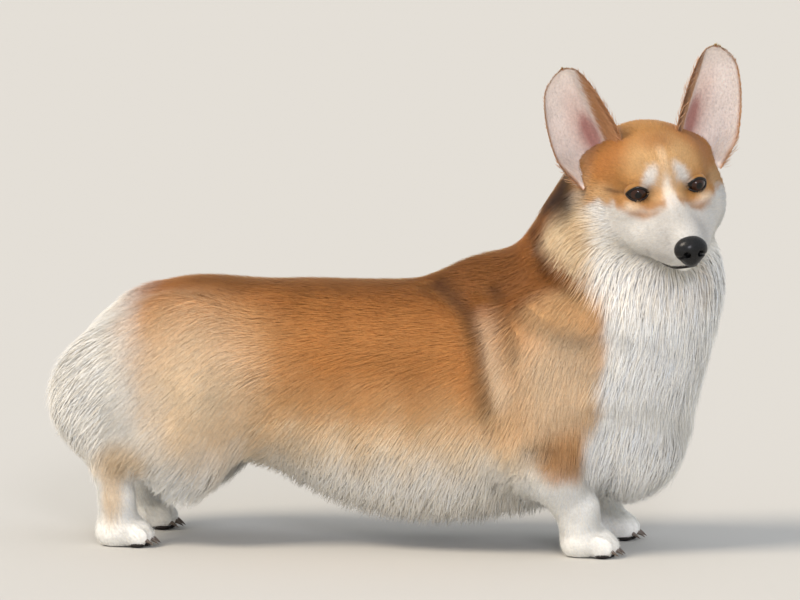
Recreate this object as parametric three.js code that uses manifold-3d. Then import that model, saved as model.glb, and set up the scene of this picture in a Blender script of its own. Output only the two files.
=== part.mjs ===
// A red and white Pembroke Welsh Corgi, life size, standing square with its head turned to its right.
// Millimetres, +Z up. The dog faces +X and its left side is +Y.
// Each form is a smooth field, made of a few blended ellipsoids and tapered limbs that stand for the
// real muscles and masses of coat. A shell is then wrapped on the field by rays sent out from a line
// inside it. Neighbouring nodes are parted by thin cuts.
import * as THREE from "three";
import { mergeVertices } from "three/addons/utils/BufferGeometryUtils.js";
import Module from "manifold-3d";

const wasm = await Module();
wasm.setup();

const v = (x, y, z) => new THREE.Vector3(x, y, z);

// Driving sizes
const GAP = 0.35; // between nodes that touch
const BACK_Z = 268; // level back, coat included
const HALF_CHEST = 108; // half the width of the rib cage with its coat
const LEG_Y = 67; // from the mid line to the middle of each paw
const FORE_X = 196; // front pasterns
const HOCK_X = -280; // points of the hocks
const PASTERN_TOP_Z = 38; // where a front paw is parted from its leg
const HIND_PAW_TOP_Z = 36;
const EYE_RADIUS = 12;
const EYE_X = -2;
const EYE_Y = 29.5;
const NOSE_X = 76;
const EAR_ROOT = { x: -54, y: 58, z: 22 };
const EAR_TIP = { x: -73, y: 79.5, z: 114 };
const EAR_THICKNESS = 4.4;

// The head's own frame: x forward along the muzzle, z up, origin midway between the eyes
const headFrame = new THREE.Group();
headFrame.position.set(278.2, -58, 370);
headFrame.rotation.set(
  THREE.MathUtils.degToRad(7), // tilted a little to one side
  THREE.MathUtils.degToRad(12.5), // nose down
  THREE.MathUtils.degToRad(-62.8), // turned to its right
  "ZYX",
);
headFrame.updateMatrixWorld(true);

// Fields: each gives a rough distance to its surface, negative inside

function ellipsoid([cx, cy, cz], [rx, ry, rz]) {
  return (p) => {
    const x = (p.x - cx) / rx;
    const y = (p.y - cy) / ry;
    const z = (p.z - cz) / rz;
    const inUnits = Math.hypot(x, y, z);
    const slope = Math.max(Math.hypot(x / rx, y / ry, z / rz), 1e-9);
    return (inUnits * (inUnits - 1)) / slope;
  };
}

// A limb from a to b whose radius goes from startRadius to endRadius; breadth scales its width in y
function limb(a, b, startRadius, endRadius, breadth = 1) {
  const along = v(...b).sub(v(...a));
  const lengthSq = along.lengthSq();
  return (p) => {
    const x = p.x - a[0];
    const y = p.y - a[1];
    const z = p.z - a[2];
    const t = THREE.MathUtils.clamp((x * along.x + y * along.y + z * along.z) / lengthSq, 0, 1);
    const radius = THREE.MathUtils.lerp(startRadius, endRadius, t);
    return Math.hypot(x - t * along.x, (y - t * along.y) / breadth, z - t * along.z) - radius;
  };
}

function softMin(a, b, width) {
  const near = Math.max(width - Math.abs(a - b), 0) / width;
  return Math.min(a, b) - (near * near * width) / 4;
}

// rows: [field, blend width], where the first row's width isn't used
function blend(rows) {
  return (p) => rows.reduce((sum, [field, width], i) => (i ? softMin(sum, field(p), width) : field(p)), 0);
}

const hollow = (field, cut, width) => (p) => -softMin(-field(p), cut(p), width);
const paired = (field) => (p) => field(v(p.x, Math.abs(p.y), p.z));

// Solids

function solidOf(geometry, matrix) {
  const bare = new THREE.BufferGeometry().setAttribute("position", geometry.getAttribute("position").clone());
  bare.setIndex(geometry.index ?? [...Array(bare.attributes.position.count).keys()]);
  if (matrix) bare.applyMatrix4(matrix);
  const merged = mergeVertices(bare, 1e-3);
  return new wasm.Manifold(
    new wasm.Mesh({
      numProp: 3,
      vertProperties: new Float32Array(merged.attributes.position.array),
      triVerts: new Uint32Array(merged.index.array),
    }),
  );
}

function largest(solid) {
  const bodies = solid.decompose().sort((a, b) => b.volume() - a.volume());
  return bodies[0];
}

function geometryOf(solid) {
  const mesh = solid.getMesh();
  const flat = new Float32Array(mesh.numVert * 3);
  for (let i = 0; i < mesh.numVert; i++) {
    flat.set(mesh.vertProperties.subarray(i * mesh.numProp, i * mesh.numProp + 3), i * 3);
  }
  const geometry = new THREE.BufferGeometry();
  geometry.setAttribute("position", new THREE.BufferAttribute(flat, 3));
  geometry.setIndex(new THREE.BufferAttribute(mesh.triVerts, 1));
  geometry.computeVertexNormals();
  return geometry;
}

// A closed surface from rings of equal count between two poles
function closedRings(rings, firstPole, lastPole) {
  const sides = rings[0].length;
  const points = [firstPole, ...rings.flat(), lastPole];
  const faces = [];
  for (let k = 0; k < sides; k++) {
    const next = (k + 1) % sides;
    faces.push(0, 1 + next, 1 + k);
    for (let ring = 0; ring < rings.length - 1; ring++) {
      const low = 1 + ring * sides;
      const high = low + sides;
      faces.push(low + k, low + next, high + next, low + k, high + next, high + k);
    }
    const top = 1 + (rings.length - 1) * sides;
    faces.push(points.length - 1, top + k, top + next);
  }
  const geometry = new THREE.BufferGeometry().setFromPoints(points);
  geometry.setIndex(signedVolume(points, faces) < 0 ? faces.reverse() : faces);
  return geometry;
}

function signedVolume(points, faces) {
  let sum = 0;
  for (let i = 0; i < faces.length; i += 3) {
    const [a, b, c] = [points[faces[i]], points[faces[i + 1]], points[faces[i + 2]]];
    sum += a.dot(b.clone().cross(c));
  }
  return sum / 6;
}

// The first point outward from origin where the field reaches level
function surfacePoint(field, origin, direction, level) {
  const STEP_SHARE = 0.9;
  const LEAST_STEP = 0.5;
  const FARTHEST = 320;
  let inside = 0;
  let outside = 0;
  while (outside < FARTHEST) {
    const depth = level - field(origin.clone().addScaledVector(direction, outside));
    if (depth <= 0) break;
    inside = outside;
    outside += Math.max(depth * STEP_SHARE, LEAST_STEP);
  }
  for (let i = 0; i < 14; i++) {
    const middle = (inside + outside) / 2;
    if (field(origin.clone().addScaledVector(direction, middle)) < level) inside = middle;
    else outside = middle;
  }
  return origin.clone().addScaledVector(direction, outside);
}

// Wraps a field in a shell. Rays go out square to the line through the given points, and fan round its ends.
// level over 0 grows the shell, which makes the cutter that parts a neighbour from it.
function wrap(field, { line, rings, sides, caps = 4, up = v(0, 0, 1) }, level = 0) {
  const curve = new THREE.CatmullRomCurve3(line.map((p) => v(...p)));
  const rows = [];
  const ringAt = (t, tilt) => {
    const centre = curve.getPointAt(t);
    const tangent = curve.getTangentAt(t);
    const across = up.clone().cross(tangent).normalize();
    const over = tangent.clone().cross(across);
    return Array.from({ length: sides }, (_, k) => {
      const turn = (2 * Math.PI * k) / sides;
      const direction = across
        .clone()
        .multiplyScalar(Math.cos(turn))
        .addScaledVector(over, Math.sin(turn))
        .multiplyScalar(Math.cos(tilt))
        .addScaledVector(tangent, Math.sin(tilt));
      return surfacePoint(field, centre, direction, level);
    });
  };
  for (let k = 1; k <= caps; k++) rows.push(ringAt(0, (k / (caps + 1) - 1) * (Math.PI / 2)));
  for (let k = 0; k <= rings; k++) rows.push(ringAt(k / rings, 0));
  for (let k = 1; k <= caps; k++) rows.push(ringAt(1, (k / (caps + 1)) * (Math.PI / 2)));
  const pole = (t, sign) => surfacePoint(field, curve.getPointAt(t), curve.getTangentAt(t).multiplyScalar(sign), level);
  return closedRings(rows, pole(0, -1), pole(1, 1));
}

// Everything on the side that normal points to, beyond a plane through point
function beyond(point, normal) {
  const SIZE = 900;
  const box = new THREE.Object3D();
  box.position.copy(point).addScaledVector(normal.clone().normalize(), SIZE / 2);
  box.quaternion.setFromUnitVectors(v(0, 0, 1), normal.clone().normalize());
  box.updateMatrixWorld(true);
  return solidOf(new THREE.BoxGeometry(SIZE, SIZE, SIZE), box.matrixWorld);
}

// Long coat

// A repeatable stream of numbers from 0 to 1
function numberStream(seed) {
  let state = seed;
  return () => {
    state = (1664525 * state + 1013904223) % 4294967296;
    return state / 4294967296;
  };
}
const random = numberStream(11);
const vary = (spread) => (2 * random() - 1) * spread;

function normalAt(field, p) {
  const STEP = 0.5;
  const slope = (x, y, z) => field(p.clone().add(v(x, y, z))) - field(p.clone().sub(v(x, y, z)));
  return v(slope(STEP, 0, 0), slope(0, STEP, 0), slope(0, 0, STEP)).normalize();
}

// The way that hair lies on a surface with this normal: along sweep, and lifted off by a share of the normal
function lieOn(normal, sweep, lift) {
  return sweep.clone().addScaledVector(normal, -sweep.dot(normal)).normalize().addScaledVector(normal, lift);
}

// A flat tapered lock, ridged along its outer face. It starts sunk in the core, bends over to the lie and ends at
// the coat's outer surface. Hair that hangs free goes straight along sweep; other hair follows the surface.
function lock({ core, coat, origin, direction, sweep, lift = 0.3, hangs = false, halfWidth, longest = 90 }) {
  const ROOTED = 9;
  const start = surfacePoint(core, origin, direction, -ROOTED);
  const flow = (hangs ? sweep.clone() : lieOn(normalAt(coat, start), sweep, lift)).normalize();
  const reach = Math.min(surfacePoint(coat, start, flow, 0).distanceTo(start), longest) * (0.97 + vary(0.05));
  const tip = start.clone().addScaledVector(flow, reach);
  let bend = start.clone().addScaledVector(direction, ROOTED + 4).addScaledVector(flow, 0.4 * reach);
  if (!hangs) {
    tip.addScaledVector(normalAt(coat, tip), -coat(tip));
    const middle = start.clone().lerp(tip, 0.5);
    middle.addScaledVector(normalAt(coat, middle), -coat(middle) - 0.2 * halfWidth);
    bend = middle.multiplyScalar(2).addScaledVector(start, -0.5).addScaledVector(tip, -0.5);
  }
  const spine = new THREE.QuadraticBezierCurve3(start, bend, tip);
  const acrossX = Math.abs(direction.dot(flow)) > 0.9;
  const across = acrossX ? v(1, 0, 0) : direction.clone().cross(flow).normalize();
  const rings = [[0.14, 0.8, 0.36], [0.5, 0.85, 0.28], [0.8, 0.45, 0.16]].map(([t, breadth, thickness]) => {
    const centre = spine.getPoint(t);
    const tangent = spine.getTangent(t);
    const wide = across.clone().addScaledVector(tangent, -across.dot(tangent)).normalize();
    const deep = wide.clone().cross(tangent).multiplyScalar(Math.sign(direction.dot(wide.clone().cross(tangent))) || 1);
    const corner = (a, b) => centre.clone().addScaledVector(wide, a * halfWidth).addScaledVector(deep, b * halfWidth);
    return [corner(breadth, -0.3 * thickness), corner(0, 0.7 * thickness), corner(-breadth, -0.3 * thickness)];
  });
  return solidOf(closedRings(rings, start, tip));
}

const joined = (solids) => solids.reduce((sum, solid) => sum.add(solid));

// Body fields, out to the tips of the coat

const trunk = blend([
  [ellipsoid([158, 0, 170], [132, HALF_CHEST - 4, 122])],
  [ellipsoid([40, 0, 165], [165, HALF_CHEST - 4, BACK_Z - 164]), 30],
  [ellipsoid([-90, 0, 168], [150, 97, BACK_Z - 169]), 30],
  [ellipsoid([-200, 0, 180], [104, 92, BACK_Z - 180]), 30],
  [ellipsoid([105, 0, 235], [75, 50, 62]), 30],
  [ellipsoid([40, 0, 98], [158, 95, 75]), 30],
  [ellipsoid([-265, 0, 155], [70, 78, 76]), 40],
]);
const throat = blend([
  [limb([175, 0, 225], [222, 12, 342], 90, 68, 0.86)],
  [ellipsoid([218, -4, 225], [100, 90, 118]), 30],
  [ellipsoid([232, 0, 125], [64, 68, 80]), 30],
  [ellipsoid([254, 4, 276], [74, 68, 70]), 30],
]);
const body = blend([[trunk], [throat, 14]]);

const foreleg = (side) =>
  blend([
    [ellipsoid([140, side * 68, 168], [62, 42, 94])],
    [limb([150, side * 75, 125], [170, side * 72, 88], 44, 33), 20],
    [limb([165, side * 73, 100], [FORE_X - 4, side * LEG_Y, 40], 35, 20), 15],
    [limb([FORE_X - 4, side * LEG_Y, 44], [FORE_X, side * LEG_Y, 20], 19, 18), 10],
  ]);
const hindleg = (side) =>
  blend([
    [ellipsoid([-215, side * 62, 162], [88, 46, 94])],
    [ellipsoid([-208, side * 66, 100], [50, 36, 60]), 20],
    [limb([-215, side * 68, 115], [HOCK_X + 2, side * LEG_Y, 98], 40, 24), 20],
    [ellipsoid([-285, side * 52, 148], [66, 46, 66]), 30],
  ]);
const hock = (side) => limb([HOCK_X - 1, side * LEG_Y, 92], [HOCK_X + 7, side * LEG_Y, 24], 22, 19);
const tailStub = limb([-258, 0, 238], [-274, 0, 234], 20, 15);

// Cores: where the locks grow, the solid stays back from their tips by half the depth of the coat
const { smoothstep } = THREE.MathUtils;
const trunkCore = (p) => body(p) + 34 * (1 - smoothstep(p.z, 50, 130)) + 16 * smoothstep(-p.x, 285, 325);
const breastCore = (p) => body(p) + 15 * smoothstep(p.x, 180, 240) * (1 - smoothstep(p.z, 315, 345));
const hamCore = (side) => (p) =>
  hindleg(side)(p) + 26 * smoothstep(-p.x, 255, 330) + 22 * (1 - smoothstep(p.z, 50, 100)) * smoothstep(p.x, -280, -240);

// How each form is wrapped
const trunkWrap = { line: [[-205, 0, 176], [-90, 0, 168], [40, 0, 166], [165, 0, 172]], rings: 13, sides: 24, caps: 3 };
const breastWrap = { line: [[212, 0, 105], [200, 0, 200], [226, 8, 342]], rings: 10, sides: 22, caps: 4, up: v(1, 0, 0) };
const foreWrap = (side) => ({
  line: [[136, side * 70, 200], [150, side * 75, 125], [178, side * 71, 72], [FORE_X - 2, side * LEG_Y, 40]],
  rings: 9,
  sides: 14,
  caps: 2,
  up: v(1, 0, 0),
});
const hindWrap = (side) => ({
  line: [[-190, side * 64, 165], [-235, side * 62, 150], [-280, side * 58, 145]],
  rings: 4,
  sides: 18,
  caps: 4,
});
const hockWrap = (side) => ({
  line: [[HOCK_X, side * LEG_Y, 90], [HOCK_X + 7, side * LEG_Y, 26]],
  rings: 4,
  sides: 12,
  caps: 2,
  up: v(1, 0, 0),
});
const tailWrap = { line: [[-258, 0, 238], [-273, 0, 234]], rings: 3, sides: 12, caps: 2 };
const withers = { point: v(128, 0, 312), normal: v(0.958, 0, 0.287) }; // the plane that parts neck and torso

// Paws: the foot's body, the pastern above it and four arched toes with claws

function pawField(x, side, topZ, pasternRadius) {
  const toes = [-1.5, -0.5, 0.5, 1.5].map((place) => {
    const reach = 24 - 3.5 * Math.abs(place);
    return [ellipsoid([x + reach, side * LEG_Y + place * 10.5, 11], [14, 6.6, 11.5]), 3.5];
  });
  return blend([
    [ellipsoid([x + 4, side * LEG_Y, 15], [29, 22.5, 17])],
    [limb([x - 6, side * LEG_Y, 12], [x - 4, side * LEG_Y, topZ + 12], pasternRadius - 1, pasternRadius), 10],
    ...toes,
  ]);
}

function paw(x, side, topZ, pasternRadius) {
  const field = pawField(x, side, topZ, pasternRadius);
  const middle = [x + 4, side * LEG_Y, 19];
  const line = [middle, [middle[0] + 3, middle[1], middle[2]]];
  let solid = solidOf(wrap(field, { line, rings: 1, sides: 15, caps: 4 }));
  solid = solid.subtract(beyond(v(0, 0, 0), v(0, 0, -1))).subtract(beyond(v(0, 0, topZ), v(0, 0, 1)));
  for (const place of [-1.5, -0.5, 0.5, 1.5]) {
    const claw = new THREE.Object3D();
    claw.position.set(x + 35 - 3.5 * Math.abs(place), side * LEG_Y + place * 10.5, 6.5);
    claw.rotation.y = THREE.MathUtils.degToRad(112);
    claw.updateMatrixWorld(true);
    solid = solid.add(solidOf(new THREE.ConeGeometry(2.2, 11, 5).rotateX(Math.PI / 2), claw.matrixWorld));
  }
  return largest(solid);
}

// Head, in its own frame

const skull = blend([
  [ellipsoid([-58, 0, 2], [64, 60, 45])],
  [ellipsoid([-90, 0, -16], [42, 54, 46]), 20],
  [ellipsoid([-26, 0, 12], [34, 46, 29]), 16],
  [paired(ellipsoid([-10, 25, 11], [17, 17, 14])), 8],
  [limb([-8, 0, -10], [62, 0, -32], 19, 12.5), 12],
  [limb([0, 0, -36], [56, 0, -41], 29, 21), 14],
  [paired(ellipsoid([52, 10, -44], [19, 13.5, 13])), 8],
  [limb([-30, 0, -56], [50, 0, -57], 27, 16), 5],
  [paired(ellipsoid([-52, 45, -36], [37, 32, 42])), 22],
  [paired(limb([-26, 33, -36], [34, 12, -42], 30, 21)), 14],
  [paired(ellipsoid([-8, 34, -16], [24, 19, 16])), 12],
  [paired(ellipsoid([-75, 50, -2], [20, 25, 25])), 14],
]);
const socketed = hollow(skull, paired(ellipsoid([12, 34, 1], [9, 13, 8])), 6);
const headWrap = {
  line: [[-88, 0, -14], [-45, 0, -8], [0, 0, -22], [56, 0, -40]],
  rings: 19,
  sides: 26,
  caps: 4,
};
const noseField = blend([
  [ellipsoid([NOSE_X - 1, 0, -39], [12.5, 17, 13.5])],
  [ellipsoid([NOSE_X - 3, 0, -48.5], [10, 9, 9]), 5],
]);
const noseWrap = { line: [[NOSE_X - 4, 0, -40], [NOSE_X, 0, -40]], rings: 1, sides: 14, caps: 3 };

function ballAtEye(side, radius) {
  return solidOf(new THREE.SphereGeometry(radius, 13, 8).translate(EYE_X, side * EYE_Y, 0));
}

// The almond gap between the lids, pushed out along the way that the eye looks
function lidOpening(side) {
  const HALF_WIDTH = 11;
  const HALF_HEIGHT = 6.8;
  const almond = new THREE.Shape();
  almond.moveTo(-HALF_WIDTH, -1);
  almond.quadraticCurveTo(0, 2.1 * HALF_HEIGHT, HALF_WIDTH, 0);
  almond.quadraticCurveTo(0, -1.9 * HALF_HEIGHT, -HALF_WIDTH, -1);
  const gap = new THREE.Object3D();
  gap.position.set(EYE_X, side * EYE_Y, 0);
  gap.up.set(0, 0, 1);
  gap.lookAt(EYE_X + 0.95, side * (EYE_Y + 0.22), 0.05);
  gap.updateMatrixWorld(true);
  const bar = new THREE.ExtrudeGeometry(almond, { depth: 30, bevelEnabled: false, curveSegments: 5 });
  return solidOf(bar, gap.matrixWorld);
}

// All that lies under the lips, as seen from the side; rise lifts the lip line, which leaves the line of the mouth
function underLips(rise) {
  const HALF_WIDTH = 60;
  const lips = [[34, -65.5], [50, -65], [64, -61], [96, -60]];
  const profile = new THREE.Shape();
  profile.moveTo(18 - rise, -62 + rise);
  profile.splineThru(lips.map(([x, z]) => new THREE.Vector2(x, z + rise)));
  profile.lineTo(96, -120);
  profile.lineTo(-16 - rise, -120);
  profile.closePath();
  const block = new THREE.ExtrudeGeometry(profile, { depth: 2 * HALF_WIDTH, bevelEnabled: false, curveSegments: 5 });
  return solidOf(block.rotateX(Math.PI / 2).translate(0, HALF_WIDTH, 0));
}

// A cupped ear, its hollow to the front. In the plane of its edges, a goes outward and b to the tip.
function ear(side) {
  const root = v(EAR_ROOT.x, EAR_ROOT.y, EAR_ROOT.z);
  const toTip = v(EAR_TIP.x, EAR_TIP.y, EAR_TIP.z).sub(root);
  const height = toTip.length();
  const upward = toTip.clone().normalize();
  const facing = v(0.98, 0.14, 0.1);
  facing.addScaledVector(upward, -facing.dot(upward)).normalize();
  const outward = facing.clone().cross(upward).negate();
  const edge = (points) => new THREE.CatmullRomCurve3(points.map(([a, b]) => v(a, b, 0)));
  const inner = edge([[-30, -8], [-33, 14], [-29, 44], [-22, 72], [-9, height - 2]]);
  const outer = edge([[20, -26], [34, 2], [35, 40], [27, 76], [10, height - 3]]);
  const ROWS = 9;
  const COLUMNS = 8;
  const at = (t, u, back) => {
    const low = inner.getPoint(t);
    const high = outer.getPoint(t);
    const half = low.distanceTo(high) / 2;
    const middle = low.lerp(high, (u + 1) / 2);
    const cup = half * THREE.MathUtils.lerp(0.95, 0.35, t);
    const taper = THREE.MathUtils.lerp(1.3, 0.6, t);
    const rim = EAR_THICKNESS * taper * Math.sqrt(Math.max(1 - u * u, 0));
    const point = root
      .clone()
      .addScaledVector(outward, middle.x)
      .addScaledVector(upward, middle.y)
      .addScaledVector(facing, cup * (u * u - 1) - back * rim + 6);
    point.y *= side;
    return point;
  };
  const rows = [];
  for (let i = 0; i <= ROWS; i++) {
    const t = 1 - (1 - i / ROWS) ** 1.3;
    const front = Array.from({ length: COLUMNS }, (_, k) => at(t, -Math.cos((Math.PI * k) / COLUMNS), 0));
    const behind = Array.from({ length: COLUMNS }, (_, k) => at(t, Math.cos((Math.PI * k) / COLUMNS), 1));
    rows.push([...front, ...behind]);
  }
  const tip = at(1, 0, 0.5);
  tip.addScaledVector(v(upward.x, side * upward.y, upward.z), 3);
  return closedRings(rows, at(0, 0, 0.5), tip);
}

const headShell = wrap(socketed, headWrap);
const headGrown = solidOf(wrap(skull, headWrap, GAP));
const noseGrown = solidOf(wrap(noseField, noseWrap, GAP));
const LIP_GAP = 0.9;
const LID_THICKNESS = 1.7;

const jaw = largest(solidOf(headShell).intersect(underLips(0)).subtract(noseGrown));
let head = solidOf(headShell).subtract(underLips(LIP_GAP)).subtract(noseGrown);
for (const side of [1, -1]) head = head.add(ballAtEye(side, EYE_RADIUS + LID_THICKNESS));
for (const side of [1, -1]) head = head.subtract(ballAtEye(side, EYE_RADIUS + GAP)).subtract(lidOpening(side));
head = largest(head);

// The nose leather with its two comma-shaped nostrils
let nose = solidOf(wrap(noseField, noseWrap));
for (const side of [1, -1]) {
  const hole = new THREE.Object3D();
  hole.position.set(NOSE_X + 9.5, side * 7, -41);
  hole.rotation.set(0, 0, side * 0.6);
  hole.scale.set(1.5, 0.85, 0.85);
  hole.updateMatrixWorld(true);
  nose = nose.subtract(solidOf(new THREE.SphereGeometry(4, 7, 5), hole.matrixWorld));
}
nose = largest(nose);

// Locks of the belly fringe, in two rows a side, hanging a little to the rear
function bellyFringe() {
  const locks = [];
  const shared = { core: trunkCore, coat: body, hangs: true };
  for (const [tilt, from, to, count, lean] of [[68, -134, 120, 12, -0.26], [30, -112, 130, 7, -0.05]]) {
    for (const side of [1, -1]) {
      for (let k = 0; k < count; k++) {
        const x = THREE.MathUtils.lerp(from, to, (k + 0.5) / count) + vary(4);
        const turn = THREE.MathUtils.degToRad(tilt + vary(5));
        const direction = v(0, side * Math.sin(turn), -Math.cos(turn));
        const sweep = v(-0.24 + vary(0.12), side * lean, -1);
        locks.push(lock({ ...shared, origin: v(x, 0, 150), direction, sweep, halfWidth: 16 + vary(2.5) }));
      }
    }
  }
  return locks;
}

// Locks of the ruff and bib, in tiers round the front of the neck and breast, lying down over one another
function bib() {
  const tiers = [[290, 70, 5], [254, 94, 7], [214, 84, 6], [172, 62, 5], [134, 50, 4], [98, 38, 3]];
  const locks = [];
  tiers.forEach(([z, spread, count], tier) => {
    for (let k = 0; k < count; k++) {
      const place = (k + 0.5 + 0.25 * (tier % 2 ? 1 : -1)) / count;
      const turn = THREE.MathUtils.degToRad(THREE.MathUtils.lerp(-spread, spread, place) + vary(3));
      const direction = v(Math.cos(turn), Math.sin(turn), 0);
      const origin = v(THREE.MathUtils.lerp(205, 222, tier / 5), 0, z + vary(4));
      const sweep = v(0, vary(0.15), -1);
      locks.push(
        lock({ core: breastCore, coat: body, origin, direction, sweep, halfWidth: 27 + vary(3), longest: 84 }),
      );
    }
  });
  return locks;
}

// Locks of the breeches behind each ham, and the fringe that hangs in front of the hock
function breeches(side) {
  const tiers = [[46, 3], [20, 3], [-6, 4], [-32, 4], [-56, 2]];
  const shared = { core: hamCore(side), coat: hindleg(side) };
  const locks = [];
  tiers.forEach(([rise, count], tier) => {
    const up = THREE.MathUtils.degToRad(rise);
    for (let k = 0; k < count; k++) {
      const place = (k + 0.5 + 0.2 * (tier % 2 ? 1 : -1)) / count;
      const turn = THREE.MathUtils.degToRad(THREE.MathUtils.lerp(-28, 74, place) + vary(4));
      const direction = v(-Math.cos(turn) * Math.cos(up), side * Math.sin(turn) * Math.cos(up), Math.sin(up));
      const sweep = v(-0.35, 0, -1 + vary(0.1));
      const origin = v(-262, side * 56, 146);
      locks.push(lock({ ...shared, origin, direction, sweep, lift: 0.32, halfWidth: 24 + vary(2.5), longest: 95 }));
    }
  });
  for (let k = 0; k < 4; k++) {
    const origin = v(-184 - 19 * k + vary(3), side * 62, 120);
    const direction = v(0, side * Math.sin(0.6), -Math.cos(0.6));
    const sweep = v(-0.12 + vary(0.1), 0, -1);
    locks.push(lock({ ...shared, origin, direction, sweep, hangs: true, halfWidth: 15 + vary(2) }));
  }
  return locks;
}

// Locks between the hams, under the tail
function rumpFringe() {
  const shared = { core: trunkCore, coat: body, lift: 0.4, halfWidth: 17, longest: 80 };
  const locks = [];
  for (const z of [200, 160]) {
    for (const y of [-15, 15]) {
      const direction = v(-1, y / 60, -0.1).normalize();
      locks.push(lock({ ...shared, origin: v(-240, y, z), direction, sweep: v(-0.3, vary(0.1), -1) }));
    }
  }
  return locks;
}

// Parting the nodes

const toWorld = (solid) => solidOf(geometryOf(solid), headFrame.matrixWorld);
const headCutter = toWorld(headGrown);
const breastGrown = solidOf(wrap(body, breastWrap, GAP));
const trunkCoreGrown = solidOf(wrap(trunkCore, trunkWrap, GAP));
const ears = {};
const forelegs = {};
const thighs = {};
const hocks = {};
let torso = solidOf(wrap(trunkCore, trunkWrap));
let torsoLocks = joined([...bellyFringe(), ...rumpFringe()]);
let neck = solidOf(wrap(breastCore, breastWrap)).add(joined(bib()));
for (const side of [1, -1]) {
  ears[side] = largest(toWorld(solidOf(ear(side)).subtract(headGrown)).subtract(breastGrown));

  const foreGrown = solidOf(wrap(foreleg(side), foreWrap(side), GAP));
  const fore = solidOf(wrap(foreleg(side), foreWrap(side)));
  forelegs[side] = largest(fore.subtract(beyond(v(0, 0, PASTERN_TOP_Z + GAP), v(0, 0, -1))));

  const hockGrown = solidOf(wrap(hock(side), hockWrap(side), GAP));
  const hockWhole = solidOf(wrap(hock(side), hockWrap(side)));
  hocks[side] = largest(hockWhole.subtract(beyond(v(0, 0, HIND_PAW_TOP_Z + GAP), v(0, 0, -1))));

  const thighLocks = joined(breeches(side)).subtract(trunkCoreGrown).subtract(beyond(v(0, side * 1, 0), v(0, -side, 0)));
  thighs[side] = largest(solidOf(wrap(hamCore(side), hindWrap(side))).add(thighLocks).subtract(hockGrown));

  torsoLocks = torsoLocks.subtract(solidOf(wrap(hindleg(side), hindWrap(side), 6)));
  torso = torso.subtract(solidOf(wrap(hamCore(side), hindWrap(side), GAP))).subtract(hockGrown).subtract(foreGrown);
  torsoLocks = torsoLocks.subtract(foreGrown).subtract(hockGrown);
  neck = neck.subtract(foreGrown);
}
const tailGrown = solidOf(wrap(tailStub, tailWrap, GAP));
torso = torso.add(torsoLocks).subtract(tailGrown).subtract(beyond(withers.point, withers.normal));
const behindNeck = beyond(withers.point.clone().addScaledVector(withers.normal, GAP), withers.normal.clone().negate());
neck = neck.subtract(behindNeck).subtract(headCutter);

let tail = solidOf(wrap(tailStub, tailWrap));
for (const side of [1, -1]) {
  thighs[side] = largest(thighs[side].subtract(tailGrown));
  tail = tail.subtract(solidOf(wrap(hamCore(side), hindWrap(side), GAP)));
}

// Assembly

const coatRed = new THREE.MeshStandardMaterial({ color: "#c07a3a", roughness: 0.85 });
const coatWhite = new THREE.MeshStandardMaterial({ color: "#ece6dc", roughness: 0.85 });
const coatSand = new THREE.MeshStandardMaterial({ color: "#d8b184", roughness: 0.85 });
const leather = new THREE.MeshStandardMaterial({ color: "#17181a", roughness: 0.35 });
const cornea = new THREE.MeshStandardMaterial({ color: "#2a160b", roughness: 0.08 });

const dog = new THREE.Group();
function place(name, solid, material, parent = dog) {
  const mesh = new THREE.Mesh(geometryOf(solid), material.clone());
  mesh.name = name;
  parent.add(mesh);
}

place("torso", largest(torso), coatRed);
place("neck", largest(neck), coatWhite);
place("tail", largest(tail), coatRed);
place("head", head, coatRed, headFrame);
place("jaw", jaw, coatWhite, headFrame);
place("nose", nose, leather, headFrame);
for (const [word, side] of [["left", 1], ["right", -1]]) {
  place("ear_" + word, ears[side], coatSand);
  place("eye_" + word, ballAtEye(side, EYE_RADIUS), cornea, headFrame);
  place("foreleg_" + word, forelegs[side], coatSand);
  place("forepaw_" + word, paw(FORE_X + 3, side, PASTERN_TOP_Z, 18.5), coatWhite);
  place("thigh_" + word, thighs[side], coatSand);
  place("hock_" + word, hocks[side], coatWhite);
  place("hindpaw_" + word, paw(HOCK_X + 8, side, HIND_PAW_TOP_Z, 19), coatWhite);
}
dog.add(headFrame);

// The origin goes to the middle of the dog's box, at the level of its soles
const bounds = new THREE.Box3().setFromObject(dog, true);
const middle = bounds.getCenter(v(0, 0, 0));
dog.position.set(-middle.x, -middle.y, -bounds.min.z);

export default dog;
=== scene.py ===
"""A red and white Pembroke Welsh Corgi, life size, standing with its head turned to its right.

One skin with a coat of solid tufts, lids, eyes, nose leather, lips, ears and claws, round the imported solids.
Shapes are worked out in the dog's own frame, in millimetres: x forward, y to its left and z up from the
ground. The head has a frame of its own: x out along the muzzle, y to the dog's left and z to its crown.
"""
import math

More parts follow.
